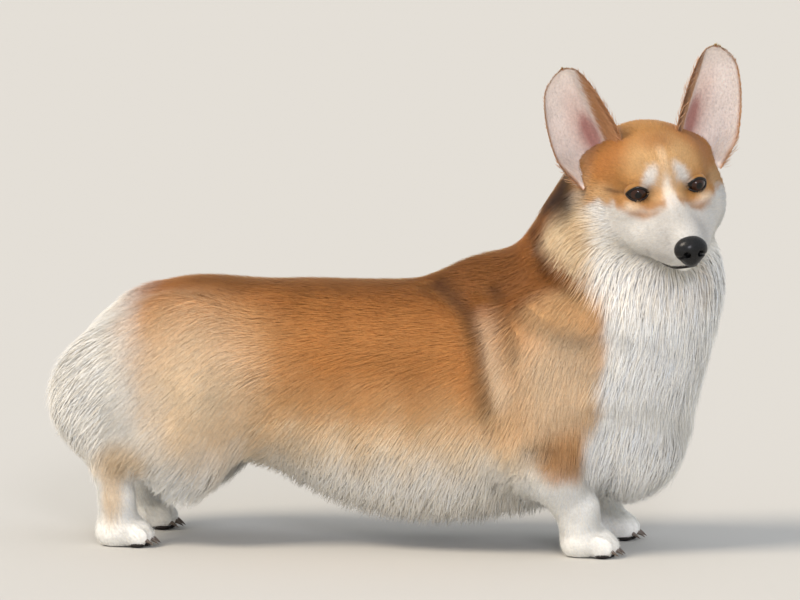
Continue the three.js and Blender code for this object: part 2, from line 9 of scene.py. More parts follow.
import bpy
import numpy as np
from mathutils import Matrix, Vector


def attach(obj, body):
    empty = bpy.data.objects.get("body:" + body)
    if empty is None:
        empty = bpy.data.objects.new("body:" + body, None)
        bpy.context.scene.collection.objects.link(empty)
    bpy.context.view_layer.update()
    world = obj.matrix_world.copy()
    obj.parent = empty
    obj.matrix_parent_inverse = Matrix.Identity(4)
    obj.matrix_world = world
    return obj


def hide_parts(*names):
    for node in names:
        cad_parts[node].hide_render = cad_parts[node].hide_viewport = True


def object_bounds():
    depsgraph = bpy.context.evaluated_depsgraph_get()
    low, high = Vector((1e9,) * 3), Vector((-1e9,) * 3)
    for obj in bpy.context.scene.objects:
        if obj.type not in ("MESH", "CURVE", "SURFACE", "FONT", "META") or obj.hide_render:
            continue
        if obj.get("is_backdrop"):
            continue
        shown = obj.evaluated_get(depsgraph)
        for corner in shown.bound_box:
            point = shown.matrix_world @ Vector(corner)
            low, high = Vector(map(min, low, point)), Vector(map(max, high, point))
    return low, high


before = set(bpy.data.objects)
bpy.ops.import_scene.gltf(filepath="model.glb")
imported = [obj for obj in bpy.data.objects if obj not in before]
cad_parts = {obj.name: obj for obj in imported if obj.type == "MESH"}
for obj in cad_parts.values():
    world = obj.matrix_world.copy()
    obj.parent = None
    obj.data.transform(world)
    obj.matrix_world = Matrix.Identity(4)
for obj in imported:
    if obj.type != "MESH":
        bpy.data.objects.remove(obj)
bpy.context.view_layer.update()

ORIGIN = np.array([5.18, 3.75, 0.0])  # where the dog's own frame has its origin in the row's frame, in mm

# Sizes of the solids that the looks are built round, in mm. Those of the eye, nose and ear are in the head's frame
BACK_Z = 268
HALF_CHEST = 108
LEG_Y = 67
FORE_X = 196
HOCK_X = -280
EYE_RADIUS = 12
EYE_AT = (-2.0, 29.5, 0.0)
NOSE_X = 76
TOES = (-1.5, -0.5, 0.5, 1.5)  # the four toes of a foot, counted in toes from its middle
TOE_GAP = 10.5
EAR_ROOT = np.array([-54.0, 58.0, 22.0])
EAR_TIP = np.array([-73.0, 79.5, 114.0])
HEAD_AT = np.array([278.2, -58.0, 370.0])


# ---------------------------------------------------------------- Small helpers

def linear(code):
    """The linear RGB of an sRGB hex colour."""
    value = np.array([int(code[i:i + 2], 16) for i in (1, 3, 5)]) / 255
    return np.where(value <= 0.04045, value / 12.92, ((value + 0.055) / 1.055) ** 2.4)


def smooth(value, low, high):
    """0 up to low, 1 from high on, and an S between them."""
    t = np.clip((value - low) / (high - low), 0, 1)
    return t * t * (3 - 2 * t)


def fade(value, low, high):
    """1 up to low, 0 from high on, and an S between them."""
    return 1 - smooth(value, low, high)


def unit(vectors):
    """Each row at length 1."""
    return vectors / np.maximum(np.linalg.norm(vectors, axis=-1, keepdims=True), 1e-9)


def dot(a, b):
    """The dot product of each row of a with that of b, kept as a column."""
    return np.sum(a * b, axis=-1, keepdims=True)


def ways(*parts):
    """Three arrays or numbers as the columns of one array, a way in each row."""
    return np.stack(np.broadcast_arrays(*parts), axis=-1)


def mix(a, b, share):
    """Each row of a and b together, with that share of b."""
    return a * (1 - share[:, None]) + share[:, None] * b


def turning(axis, degrees):
    """The matrix that turns about an axis, 0 for x, 1 for y, 2 for z."""
    c, s = math.cos(math.radians(degrees)), math.sin(math.radians(degrees))
    i, j = [(1, 2), (2, 0), (0, 1)][axis]
    matrix = np.eye(3)
    matrix[i, i], matrix[i, j], matrix[j, i], matrix[j, j] = c, -s, s, c
    return matrix


HEAD_TURN = turning(2, -62.8) @ turning(1, 12.5) @ turning(0, 7.0)


def from_head(points):
    """Points of the head's frame in the dog's."""
    return points @ HEAD_TURN.T + HEAD_AT


def to_head(points):
    """Points of the dog's frame in the head's."""
    return (points - HEAD_AT) @ HEAD_TURN


def spline(points, t):
    """A curve through the points, each reached after an equal share of t from 0 to 1: on each stretch a
    cubic whose slope at a point is half the way from the point before it to the point after it."""
    points = np.asarray(points, float)
    padded = np.vstack([2 * points[0] - points[1], points, 2 * points[-1] - points[-2]])
    place = np.clip(np.asarray(t, float), 0, 1) * (len(points) - 1)
    k = np.minimum(place.astype(int), len(points) - 2)
    s = (place - k)[..., None]
    a, b, c, d = (padded[k + i] for i in range(4))
    return 0.5 * (2 * b + (c - a) * s + (2 * a - 5 * b + 4 * c - d) * s**2 + (3 * b - a - 3 * c + d) * s**3)


def ripple(points, size, seed):
    """Smooth noise between about -1 and 1: the sum of seven sine waves about size mm long, in seeded
    directions."""
    rng = np.random.default_rng(seed)
    ways = unit(rng.normal(size=(7, 3))) * (2 * np.pi / (size * rng.uniform(0.7, 1.6, (7, 1))))
    return np.sin(points @ ways.T + rng.uniform(0, 2 * np.pi, 7)).sum(1) / 3.2


# ---------------------------------------------------------------- Fields of the dog's form
# Each takes x, y and z as arrays and gives a rough distance to its surface, negative inside.

def ellipsoid(centre, radii):
    """k(k - 1)/s, where k is the distance from the centre in radii and s is the slope of k times k."""
    def field(x, y, z):
        u, v, w = ((a - c) / r for a, c, r in zip((x, y, z), centre, radii))
        k = np.sqrt(u * u + v * v + w * w)
        slope = np.sqrt((u / radii[0]) ** 2 + (v / radii[1]) ** 2 + (w / radii[2]) ** 2)
        return np.maximum(k, 1e-3) * (k - 1) / np.maximum(slope, 1e-5)
    return field


def limb(a, b, start, end, breadth=1.0):
    """The distance to the nearest point of the line from a to b, less a radius that goes from start to end.
    Distances across the body count for less by the breadth, which makes it that much wider."""
    way = np.subtract(b, a).astype(np.float32)
    def field(x, y, z):
        dx, dy, dz = x - a[0], y - a[1], z - a[2]
        t = np.clip((dx * way[0] + dy * way[1] + dz * way[2]) / float(way @ way), 0, 1)
        across = np.sqrt((dx - t * way[0]) ** 2 + ((dy - t * way[1]) / breadth) ** 2 + (dz - t * way[2]) ** 2)
        return across - (start + (end - start) * t)
    return field


def soft_min(a, b, width):
    """The smaller of two fields, rounded where they are within width of each other."""
    near = np.maximum(width - np.abs(a - b), 0) / width
    return np.minimum(a, b) - near * near * width / 4


def blend(rows):
    """The rows' fields joined one after another, each over its own width."""
    def field(x, y, z):
        total = rows[0][0](x, y, z)
        for part, width in rows[1:]:
            total = soft_min(total, part(x, y, z), width)
        return total
    return field


def paired(field):
    """A field and its mirror image on the other side of the mid line."""
    return lambda x, y, z: field(x, np.abs(y), z)


trunk = blend([
    (ellipsoid((158, 0, 170), (132, HALF_CHEST - 4, 122)), 0),
    (ellipsoid((40, 0, 165), (165, HALF_CHEST - 4, BACK_Z - 164)), 30),
    (ellipsoid((-90, 0, 168), (150, 97, BACK_Z - 169)), 30),
    (ellipsoid((-200, 0, 180), (104, 92, BACK_Z - 180)), 30),
    (ellipsoid((105, 0, 235), (75, 50, 62)), 30),
    (ellipsoid((40, 0, 98), (158, 95, 75)), 30),
    (ellipsoid((-265, 0, 155), (70, 78, 76)), 40),
])
throat = blend([
    (limb((175, 0, 225), (222, 12, 342), 90, 68, 0.86), 0),
    (ellipsoid((218, -4, 225), (100, 90, 118)), 30),
    (ellipsoid((232, 0, 125), (64, 68, 80)), 30),
    (ellipsoid((254, 4, 276), (74, 68, 70)), 30),
])
body = blend([(trunk, 0), (throat, 14)])
foreleg = paired(blend([
    (ellipsoid((140, 68, 168), (62, 42, 94)), 0),
    (limb((150, 75, 125), (170, 72, 88), 44, 33), 20),
    (limb((165, 73, 100), (FORE_X - 4, LEG_Y, 40), 35, 20), 15),
    (limb((FORE_X - 4, LEG_Y, 44), (FORE_X, LEG_Y, 20), 19, 18), 10),
]))
hindleg = paired(blend([
    (ellipsoid((-215, 62, 162), (88, 46, 94)), 0),
    (ellipsoid((-208, 66, 100), (50, 36, 60)), 20),
    (limb((-215, 68, 115), (HOCK_X + 2, LEG_Y, 98), 40, 24), 20),
    (ellipsoid((-285, 52, 148), (66, 46, 66)), 30),
]))
hock = paired(limb((HOCK_X - 1, LEG_Y, 92), (HOCK_X + 7, LEG_Y, 24), 22, 19))
tail = limb((-258, 0, 238), (-274, 0, 234), 20, 15)


def paw(x, top, radius):
    """A foot: its body, the pastern above it and four arched toes."""
    toes = [(ellipsoid((x + 24 - 3.5 * abs(k), LEG_Y + TOE_GAP * k, 11), (14, 6.6, 11.5)), 3.5) for k in TOES]
    pastern = limb((x - 6, LEG_Y, 12), (x - 4, LEG_Y, top + 12), radius - 1, radius)
    return paired(blend([(ellipsoid((x + 4, LEG_Y, 15), (29, 22.5, 17)), 0), (pastern, 10), *toes]))


paws = blend([(paw(FORE_X + 3, 38, 18.5), 0), (paw(HOCK_X + 8, 36, 19), 1)])

skull = blend([
    (ellipsoid((-58, 0, 2), (64, 60, 45)), 0),
    (ellipsoid((-90, 0, -16), (42, 54, 46)), 20),
    (ellipsoid((-26, 0, 12), (34, 46, 29)), 16),
    (paired(ellipsoid((-10, 25, 11), (17, 17, 14))), 8),
    (limb((-8, 0, -10), (62, 0, -32), 19, 12.5), 12),
    (limb((0, 0, -36), (56, 0, -41), 29, 21), 14),
    (paired(ellipsoid((52, 10, -44), (19, 13.5, 13))), 8),
    (limb((-30, 0, -56), (50, 0, -57), 27, 16), 5),
    (paired(ellipsoid((-52, 45, -36), (37, 32, 42))), 22),
    (paired(limb((-26, 33, -36), (34, 12, -42), 30, 21)), 14),
    (paired(ellipsoid((-8, 34, -16), (24, 19, 16))), 12),
    (paired(ellipsoid((-75, 50, -2), (20, 25, 25))), 14),
])
sockets = paired(ellipsoid((12, 32.5, 1), (9, 13, 8)))
LIP_LINE = np.array([[-16, -56], [18, -62], [34, -65.5], [50, -65], [64, -61], [96, -60]], float)


def lip_height(x):
    """The height of the closed lips above x along the muzzle, in the head's frame."""
    return np.interp(x, LIP_LINE[:, 0], LIP_LINE[:, 1])


def in_head(field):
    """A field of the head's frame, read in the dog's."""
    def turned(x, y, z):
        dx, dy, dz = x - HEAD_AT[0], y - HEAD_AT[1], z - HEAD_AT[2]
        return field(*(dx * HEAD_TURN[0, k] + dy * HEAD_TURN[1, k] + dz * HEAD_TURN[2, k] for k in range(3)))
    return turned


# The skin under the coat: each form less the depth of its hair, in mm
BODY_HAIR, LEG_HAIR, PAW_HAIR, TAIL_HAIR, FACE_HAIR = 4.8, 3.5, 2, 6, 2.2
LIP_GROOVE, LIP_GROOVE_WIDTH, LIP_SET_BACK = 2.4, 1.7, 1.6


def trunk_skin(x, y, z):
    """The body less a depth of hair that grows at the belly, the rump and the breast."""
    depth = BODY_HAIR + 26 * fade(z, 50, 130) + 9 * smooth(-x, 285, 325)
    return body(x, y, z) + depth + 4 * smooth(x, 180, 240) * fade(z, 315, 345)


def ham_skin(x, y, z):
    """The hind leg less a depth that grows at the breeches and in front of the hock."""
    fringe = 20 * fade(z, 50, 100) * smooth(x, -280, -240)
    return hindleg(x, y, z) + BODY_HAIR + 12 * smooth(-x, 255, 330) + fringe


def foreleg_skin(x, y, z):
    """The foreleg less a depth that thins towards the foot."""
    return foreleg(x, y, z) + LEG_HAIR + 4 * smooth(z, 50, 120)


def head_skin(x, y, z):
    """The skull with its eye sockets, less a thin depth on the muzzle and a fuller one on the cheeks, with
    a groove along the lips and the lower lip set a little back under the upper one."""
    cheeks = smooth(-x, 10, 60) * smooth(-z, -10, 40)
    bare = skull(x, y, z) + FACE_HAIR + 4.5 * cheeks + 2 * smooth(-x, 40, 90)
    hollowed = -soft_min(-bare, sockets(x, y, z), 6)
    above = z - lip_height(x)
    mouth = LIP_GROOVE * np.exp(-((above / LIP_GROOVE_WIDTH) ** 2)) + LIP_SET_BACK * smooth(-above, 0, 3)
    return hollowed + smooth(x, 8, 20) * mouth


def skin(x, y, z):
    """All of the skin as one form, with flat soles."""
    legs = soft_min(foreleg_skin(x, y, z), ham_skin(x, y, z), 6)
    lower = soft_min(soft_min(hock(x, y, z) + LEG_HAIR, paws(x, y, z) + PAW_HAIR, 5), legs, 8)
    whole = soft_min(soft_min(trunk_skin(x, y, z), lower, 24), tail(x, y, z) + TAIL_HAIR, 12)
    whole = soft_min(whole, in_head(head_skin)(x, y, z), 12)
    return np.maximum(whole, 0.5 - z)


def coat(x, y, z):
    """The outer face of the coat as one form."""
    feet = soft_min(hock(x, y, z), paws(x, y, z), 4)
    whole = soft_min(body(x, y, z), soft_min(foreleg(x, y, z), hindleg(x, y, z), 4), 24)
    whole = soft_min(soft_min(whole, feet, 6), tail(x, y, z), 10)
    return soft_min(whole, in_head(skull)(x, y, z), 8)


# Folds where the neck bends to the turned head, behind the shoulder, across the breast and at the elbow.
# Each is a line along the coat's face, how deep it goes (or how high it stands, where negative) and half
# its width.
FOLDS = {
    "collar": ([(128, -10, 326), (141, -34, 316), (156, -64, 289), (190, -82, 266), (217, -81, 252),
                (236, -82, 238)], 8, 9),
    "neck": ([(135, -91, 246), (154, -96, 232), (176, -95, 220), (199, -92, 214), (215, -86, 213)], 5, 8),
    "shoulder": ([(39, -29, 269), (61, -56, 256), (77, -72, 242), (89, -91, 218), (96, -98, 198),
                  (101, -103, 169), (106, -103, 146)], 5, 9),
    "blade": ([(102, -59, 264), (118, -91, 238), (130, -104, 213), (134, -106, 195)], 4, 7),
    "ridge": ([(95, -72, 246), (101, -86, 227), (109, -101, 199), (115, -106, 175),
               (120, -108, 155)], -3, 12),
    "breast": ([(226, -84, 158), (240, -75, 163), (258, -58, 164), (278, -39, 155), (294, 4, 130)], 6, 8),
    "elbow": ([(142, -112, 103), (157, -114, 105), (172, -110, 102)], 4, 5),
}
BOTH_SIDES = ("shoulder", "blade", "ridge", "elbow")  # the rest come from the turn of the head


def from_line(points, line):
    """The distance from each point to the nearest place on a line of straight stretches."""
    line = np.array(line, float)
    best = np.full(len(points), np.inf)
    for a, b in zip(line[:-1], line[1:]):
        t = np.clip((points - a) @ (b - a) / ((b - a) @ (b - a)), 0, 1)
        best = np.minimum(best, np.linalg.norm(points - a - t[:, None] * (b - a), axis=1))
    return best


def on_line(points, line, width):
    """1 on a line and less away from it, by the bell curve exp(-(distance / width) squared)."""
    return np.exp(-((from_line(points, line) / width) ** 2))


def to_right(points):
    """The points, with those on the dog's left mirrored to its right."""
    return np.where(points[:, 1:2] > 0, points * [1, -1, 1], points)


def fold_share(points, name):
    """1 in the middle of a fold and less away from it, by a bell curve of its width."""
    line, _, width = FOLDS[name]
    return on_line(to_right(points) if name in BOTH_SIDES else points, line, width)


def fold_depth(points):
    """How far the folds draw the coat's face in at these places, 0 beyond three widths from them all."""
    depth = np.zeros(len(points))
    x, _, z = points.T
    near = (x > 15) & (x < 320) & (z > 85) & (z < 345)
    depth[near] = sum(deep * fold_share(points[near], name) for name, (_, deep, _) in FOLDS.items())
    return depth


def near_folds(points):
    """1 on a fold's line and 0 beyond about 30 mm from them all."""
    right = to_right(points)
    return fade(np.min([from_line(right if name in BOTH_SIDES else points, line)
                        for name, (line, _, _) in FOLDS.items()], axis=0), 10, 32)


# ---------------------------------------------------------------- Sampled fields

def steps(stretches):
    """Grid lines along one axis, from rows of start, end and spacing that follow on each other."""
    return np.concatenate([np.arange(a, b, d) for a, b, d in stretches]).astype(np.float32)


class Sampled:
    """A field worked out once on a grid with uneven lines, and read off between them."""

    def __init__(self, field, xs, ys, zs):
        self.lines = (xs, ys, zs)
        layers = 24  # worked out at a time, to save memory
        self.values = np.concatenate([
            field(xs[:, None, None], ys[None, :, None], zs[None, None, k:k + layers]).astype(np.float32)
            for k in range(0, len(zs), layers)], axis=2)

    def __call__(self, points):
        """The value at each point: the eight grid values round it, weighted by nearness."""
        total = np.zeros(len(points))
        corner, share = [], []
        for axis, lines in enumerate(self.lines):
            k = np.clip(np.searchsorted(lines, points[:, axis]) - 1, 0, len(lines) - 2)
            corner.append(k)
            share.append(np.clip((points[:, axis] - lines[k]) / (lines[k + 1] - lines[k]), 0, 1))
        for n in range(8):
            bits = [(n >> axis) & 1 for axis in range(3)]
            weight = np.prod([s if b else 1 - s for s, b in zip(share, bits)], axis=0)
            total += weight * self.values[tuple(k + b for k, b in zip(corner, bits))]
        return total

    def slope(self, points, reach=2.0):
        """The way that the value grows fastest at each point, at length 1."""
        ways = np.eye(3) * reach
        return unit(np.stack([self(points + way) - self(points - way) for way in ways], axis=1))


def surface_net(sampled):
    """The zero level of a sampled field. Each grid cell that it crosses has one vertex, at the mean of the
    places where it cuts the cell's edges, and each cut grid edge has one quad through the four cells round
    it."""
    lines, values = sampled.lines, sampled.values
    inside = values < 0
    nx, ny, nz = np.array(values.shape) - 1
    count = sum(inside[a:a + nx, b:b + ny, c:c + nz].astype(np.int8)
                for a in (0, 1) for b in (0, 1) for c in (0, 1))
    cells = np.argwhere((count > 0) & (count < 8))
    number = np.full(count.shape, -1, np.int32)
    number[tuple(cells.T)] = np.arange(len(cells))
    total, hits = np.zeros((len(cells), 3)), np.zeros((len(cells), 1))
    for axis in range(3):
        for b in (0, 1):
            for c in (0, 1):
                start = np.zeros(3, int)
                start[[(axis + 1) % 3, (axis + 2) % 3]] = b, c
                low = cells + start
                high = low + np.eye(3, dtype=int)[axis]
                v0, v1 = values[tuple(low.T)], values[tuple(high.T)]
                cut = (v0 < 0) != (v1 < 0)
                share = np.where(cut, v0 / np.where(cut, v0 - v1, 1), 0)[:, None]
                p0 = np.stack([lines[k][low[:, k]] for k in range(3)], 1)
                p1 = np.stack([lines[k][high[:, k]] for k in range(3)], 1)
                total += np.where(cut[:, None], p0 + (p1 - p0) * share, 0)
                hits += cut[:, None]
    points = total / hits
    for _ in range(2):  # onto the level itself
        points -= sampled(points)[:, None] * sampled.slope(points, 1.0) * 0.9
    faces = []
    for axis in range(3):
        low = np.moveaxis(inside, axis, 0)
        cut = np.argwhere(np.moveaxis(low[:-1] != low[1:], 0, axis))
        one, two = (axis + 1) % 3, (axis + 2) % 3
        across = cut[:, [one, two]]
        cut = cut[np.all((across > 0) & (across < [count.shape[one], count.shape[two]]), axis=1)]
        round_it = []
        for b, c in ((1, 1), (0, 1), (0, 0), (1, 0)):
            shift = np.zeros(3, int)
            shift[[one, two]] = b, c
            round_it.append(number[tuple((cut - shift).T)])
        quads = np.stack(round_it, 1)
        leaving = inside[tuple(cut.T)]
        faces.append(np.where(leaving[:, None], quads, quads[:, ::-1]))
    return points, np.concatenate(faces)


# ---------------------------------------------------------------- Pieces

def piece(name, points, faces, materials, slot, colours=None, normals=None, uvs=None, choice=None):
    """A mesh from an array of points in the dog's frame and one array of faces, or a list of such arrays.
    Normals and uvs have one row for each corner of each face, in their order. Choice says which of a list
    of materials each face has."""
    faces = [np.asarray(f) for f in (faces if isinstance(faces, list) else [faces])]
    mesh = bpy.data.meshes.new(name)
    mesh.vertices.add(len(points))
    mesh.vertices.foreach_set("co", ((points + ORIGIN) / 1000).astype(np.float32).ravel())
    corners = np.concatenate([f.ravel() for f in faces])
    sizes = np.concatenate([np.full(len(f), f.shape[1]) for f in faces])
    mesh.loops.add(len(corners))
    mesh.loops.foreach_set("vertex_index", corners.astype(np.int32))
    mesh.polygons.add(len(sizes))
    mesh.polygons.foreach_set("loop_start", (np.cumsum(sizes) - sizes).astype(np.int32))
    mesh.polygons.foreach_set("use_smooth", np.ones(len(sizes), bool))
    if choice is not None:
        mesh.polygons.foreach_set("material_index", choice.astype(np.int32))
    mesh.update(calc_edges=True)
    if colours is not None:
        opaque = np.column_stack([colours, np.ones(len(colours))]).astype(np.float32)
        layer = mesh.color_attributes.new("coat_colour", "FLOAT_COLOR", "POINT")
        layer.data.foreach_set("color", opaque.ravel())
    if uvs is not None:
        mesh.uv_layers.new(name="OFBake").data.foreach_set("uv", uvs.astype(np.float32).ravel())
    if normals is not None:
        mesh.normals_split_custom_set(normals)
    for material in materials if isinstance(materials, list) else [materials]:
        mesh.materials.append(material)
    thing = bpy.data.objects.new(name, mesh)
    bpy.context.scene.collection.objects.link(thing)
    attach(thing, "root")
    return thing


def strip_faces(rows, columns, closed_rows=False):
    """Quads between neighbours of a grid of points, rows by columns. The columns close into rings, and the
    rows too where they are said to."""
    i, j = np.meshgrid(np.arange(rows - (not closed_rows)), np.arange(columns), indexing="ij")
    i, j = i.ravel(), j.ravel()
    up, on = (i + 1) % rows, (j + 1) % columns
    return np.stack([i * columns + j, i * columns + on, up * columns + on, up * columns + j], 1)


def closed_rings(rings, first, last):
    """Points and faces of rings (rings, sides, 3) closed at a pole at each end."""
    count, sides = rings.shape[:2]
    points = np.vstack([rings.reshape(-1, 3), first, last])
    k = np.arange(sides)
    on, top = (k + 1) % sides, (count - 1) * sides
    first_pole, last_pole = np.full(sides, count * sides), np.full(sides, count * sides + 1)
    ends = np.vstack([np.stack([on, k, first_pole], 1), np.stack([top + k, top + on, last_pole], 1)])
    return points, [strip_faces(count, sides), ends]


def outwards(points, faces):
    """The faces, turned round where the shape they close would be inside out."""
    volume = sum(np.sum(points[f[:, 0]] * np.cross(points[f[:, k]], points[f[:, k + 1]]))
                 for f in faces for k in range(1, f.shape[1] - 1))
    return faces if volume > 0 else [f[:, ::-1] for f in faces]


# ---------------------------------------------------------------- Materials

def node(tree, kind, values=(), links=(), **settings):
    """Adds one node with its settings, its sockets' own values and its links, each given by the socket's
    name."""
    made = tree.nodes.new(kind)
    for key, value in settings.items():
        setattr(made, key, value)
    for key, value in dict(values).items():
        made.inputs[key].default_value = value
    for key, source in dict(links).items():
        tree.links.new(source, made.inputs[key])
    return made


def material(name, values):
    """A material with one Principled shader, whose constants are set on its own sockets."""
    made = bpy.data.materials.new(name)
    made.use_nodes = True
    tree = made.node_tree
    shader = tree.nodes["Principled BSDF"]
    for key, value in values.items():
        shader.inputs[key].default_value = value
    return made, tree, shader


def furred(name, roughness, sheen, through, bump_mm):
    """Dog's hair: keratin, IOR 1.55, half matt, with a soft sheen where it is seen edge on. Its colour is
    the painted markings, broken by patches about 40 mm across and by streaks about 2.4 mm wide, each a few
    hairs together, since single hairs are too fine to show. Through is the share of light that passes in
    between them."""
    made, tree, shader = material(name, {
        "Roughness": roughness, "IOR": 1.55, "Specular IOR Level": 0.2,
        "Sheen Weight": sheen, "Sheen Roughness": 0.5,
        "Subsurface Weight": through, "Subsurface Radius": (1.0, 0.8, 0.6), "Subsurface Scale": 0.004})
    painted = node(tree, "ShaderNodeAttribute", attribute_name="coat_colour")
    place = node(tree, "ShaderNodeTexCoord").outputs["Object"]
    broad = node(tree, "ShaderNodeTexNoise", {"Scale": 26.0, "Detail": 2.0}, {"Vector": place})
    fine = node(tree, "ShaderNodeTexNoise", {"Scale": 420.0, "Detail": 2.0}, {"Vector": place})
    both = node(tree, "ShaderNodeMath", links={0: broad.outputs["Fac"], 1: fine.outputs["Fac"]},
                operation="ADD")
    bright = node(tree, "ShaderNodeMapRange",
                  {"From Min": 0.6, "From Max": 1.4, "To Min": 0.84, "To Max": 1.14},
                  {"Value": both.outputs[0]})
    varied = node(tree, "ShaderNodeVectorMath", links={0: painted.outputs["Color"], 1: bright.outputs[0]},
                  operation="MULTIPLY")
    tree.links.new(varied.outputs[0], shader.inputs["Base Color"])
    if bump_mm:
        bump = node(tree, "ShaderNodeBump", {"Strength": 0.5, "Distance": bump_mm / 1000},
                    {"Height": fine.outputs["Fac"]})
        tree.links.new(bump.outputs[0], shader.inputs["Normal"])
    return made


# Guard hair over a dense undercoat: the eye sees soft streaks, light in the gaps and a slight sheen along
# the back
coat_hair = furred("guard_hair_keratin", 0.62, 0.06, 0.35, 0)
# The hide seen between the tufts: the same markings, matt, with the grain of short hair about 2.4 mm apart
short_hair = furred("short_flat_hair_on_hide", 0.72, 0.15, 0.0, 0.5)


def leather(name, colour, roughness, grain_mm, depth_mm, coat_weight):
    """Bare dog skin: dark, moist and pebbled. Grain_mm is the width of one pebble and depth_mm how far it
    stands up. Its colour goes from 0.6 to 1.5 times the given one in patches of about 6 mm."""
    made, tree, shader = material(name, {
        "Roughness": roughness, "IOR": 1.45, "Specular IOR Level": 0.22, "Coat Weight": coat_weight,
        "Coat Roughness": 0.22})
    place = node(tree, "ShaderNodeTexCoord").outputs["Object"]
    pebbles = node(tree, "ShaderNodeTexVoronoi", {"Scale": 1000 / grain_mm, "Randomness": 0.9},
                   {"Vector": place}, feature="DISTANCE_TO_EDGE")
    worn = node(tree, "ShaderNodeTexNoise", {"Scale": 160.0, "Detail": 3.0}, {"Vector": place})
    ramp = node(tree, "ShaderNodeValToRGB", links={"Fac": worn.outputs["Fac"]})
    for stop, share in zip(ramp.color_ramp.elements, (0.6, 1.5)):
        stop.color = (*linear(colour) * share, 1)
    tree.links.new(ramp.outputs["Color"], shader.inputs["Base Color"])
    raised = node(tree, "ShaderNodeMapRange", {"From Min": 0.0, "From Max": 0.12},
                  {"Value": pebbles.outputs["Distance"]})
    bump = node(tree, "ShaderNodeBump", {"Strength": 0.6, "Distance": depth_mm / 1000},
                {"Height": raised.outputs[0]})
    tree.links.new(bump.outputs[0], shader.inputs["Normal"])
    return made


# Nose leather: pebbles a little over 1 mm wide, wet, so that it glints at the top
nose_leather = leather("moist_nose_leather", "#09090a", 0.38, 1.3, 0.22, 0.3)
# Lids and lips: thin black skin, finer grained and less wet than the nose
rim_leather = leather("black_lid_and_lip_skin", "#1a1411", 0.42, 0.9, 0.1, 0.3)
# Toe and heel pads: thick dry skin, coarse grained
pad_leather = leather("foot_pad_skin", "#2b2624", 0.75, 1.6, 0.3, 0.0)

# Eye: a smooth wet ball. The iris and pupil are painted on it, and the coat layer gives the window's sharp
# glint
eye_ball, eye_tree, eye_shader = material("wet_brown_eye", {
    "Roughness": 0.12, "IOR": 1.38, "Specular IOR Level": 0.15, "Coat Weight": 0.7, "Coat Roughness": 0.02,
    "Coat IOR": 1.4})
painted = node(eye_tree, "ShaderNodeAttribute", attribute_name="coat_colour")
eye_tree.links.new(painted.outputs["Color"], eye_shader.inputs["Base Color"])

# Claws: horn, ringed across, a ring to each 1.2 mm
claw_horn, claw_tree, claw_shader = material("claw_horn_keratin", {"Roughness": 0.38, "IOR": 1.54})
place = node(claw_tree, "ShaderNodeTexCoord").outputs["Object"]
rings = node(claw_tree, "ShaderNodeTexWave", {"Scale": 260.0, "Distortion": 2.0}, {"Vector": place})
tint = node(claw_tree, "ShaderNodeValToRGB", links={"Fac": rings.outputs["Fac"]})
for stop, code in zip(tint.color_ramp.elements, ("#4a4038", "#7c6d60")):
    stop.color = (*linear(code), 1)
claw_tree.links.new(tint.outputs["Color"], claw_shader.inputs["Base Color"])


# ---------------------------------------------------------------- Markings

# The body's colours
RED_BACK = linear("#9d5e28")
WITHERS = linear("#8a5222")
RED = linear("#c0803f")
GOLD = linear("#deb27b")
CREAM = linear("#eedab9")
WHITE = linear("#f7f5ef")
BREECHES = linear("#e9e5dc")
NECK_SIDE = linear("#dcc299")
ELBOW_PATCH = linear("#cb9355")
HOCK_SAND = linear("#e4c79c")
SHIN_SAND = linear("#dcc096")
BREAST_SHADE = linear("#a39b8f")
# Dark brown hair along the back, and the same colour as painted shade in the folds and behind the cheeks
BROWN_HAIR_AND_SHADE = linear("#4a270c")
# Smoky hair at the nape, with painted shade behind the cheek laid on in the same colour
SMOKY_HAIR_AND_SHADE = linear("#2a2018")
# The head's
FOX = linear("#bb8546")
FOX_DARK = linear("#a86c33")
RUST = linear("#b47337")
BROW_SAND = linear("#cda773")
TEMPLE = linear("#d9b483")
PARTING = linear("#e9cfa9")
EYE_CORNER = linear("#d7aa70")
EYE_BAG = linear("#ad7840")
EYE_LINE = linear("#5d3a20")
FACE_WHITE = linear("#dfdcd6")
# Grey painted shade on the muzzle top and along the whisker crease
MUZZLE_SHADE_GREY = linear("#a9a5a0")
MOUTH_CORNER = linear("#2a2320")
# The inside of the ear, and its canal
EAR_SKIN = linear("#fbeee4")
PINK = linear("#d9b3a4")
CANAL = linear("#a8605a")
# The eye from its middle out, and the rim of its lids
PUPIL = linear("#070504")
IRIS = linear("#26130a")
IRIS_FIBRE = linear("#4a2914")
IRIS_RIM = linear("#0e0806")
# The white of the eye, painted dark as painted shade under the lids
SHADED_EYE_WHITE = linear("#2a1c16")
LID_SKIN = linear("#15100d")


def laid_over(base, layers):
    """The base colour with each layer, a colour and its share at every point, laid over what is there in
    turn."""
    colours = np.broadcast_to(base, (len(layers[0][1]), 3))
    for colour, share in layers:
        colours = mix(colours, colour, np.clip(share, 0, 1))
    return colours


def spot(points, centre, radii, softness=0.35):
    """1 inside an ellipsoid and 0 outside it, with an edge as soft as that share of its radii."""
    k = np.linalg.norm((points - np.array(centre)) / np.array(radii), axis=1)
    return fade(k, 1 - softness, 1 + softness)


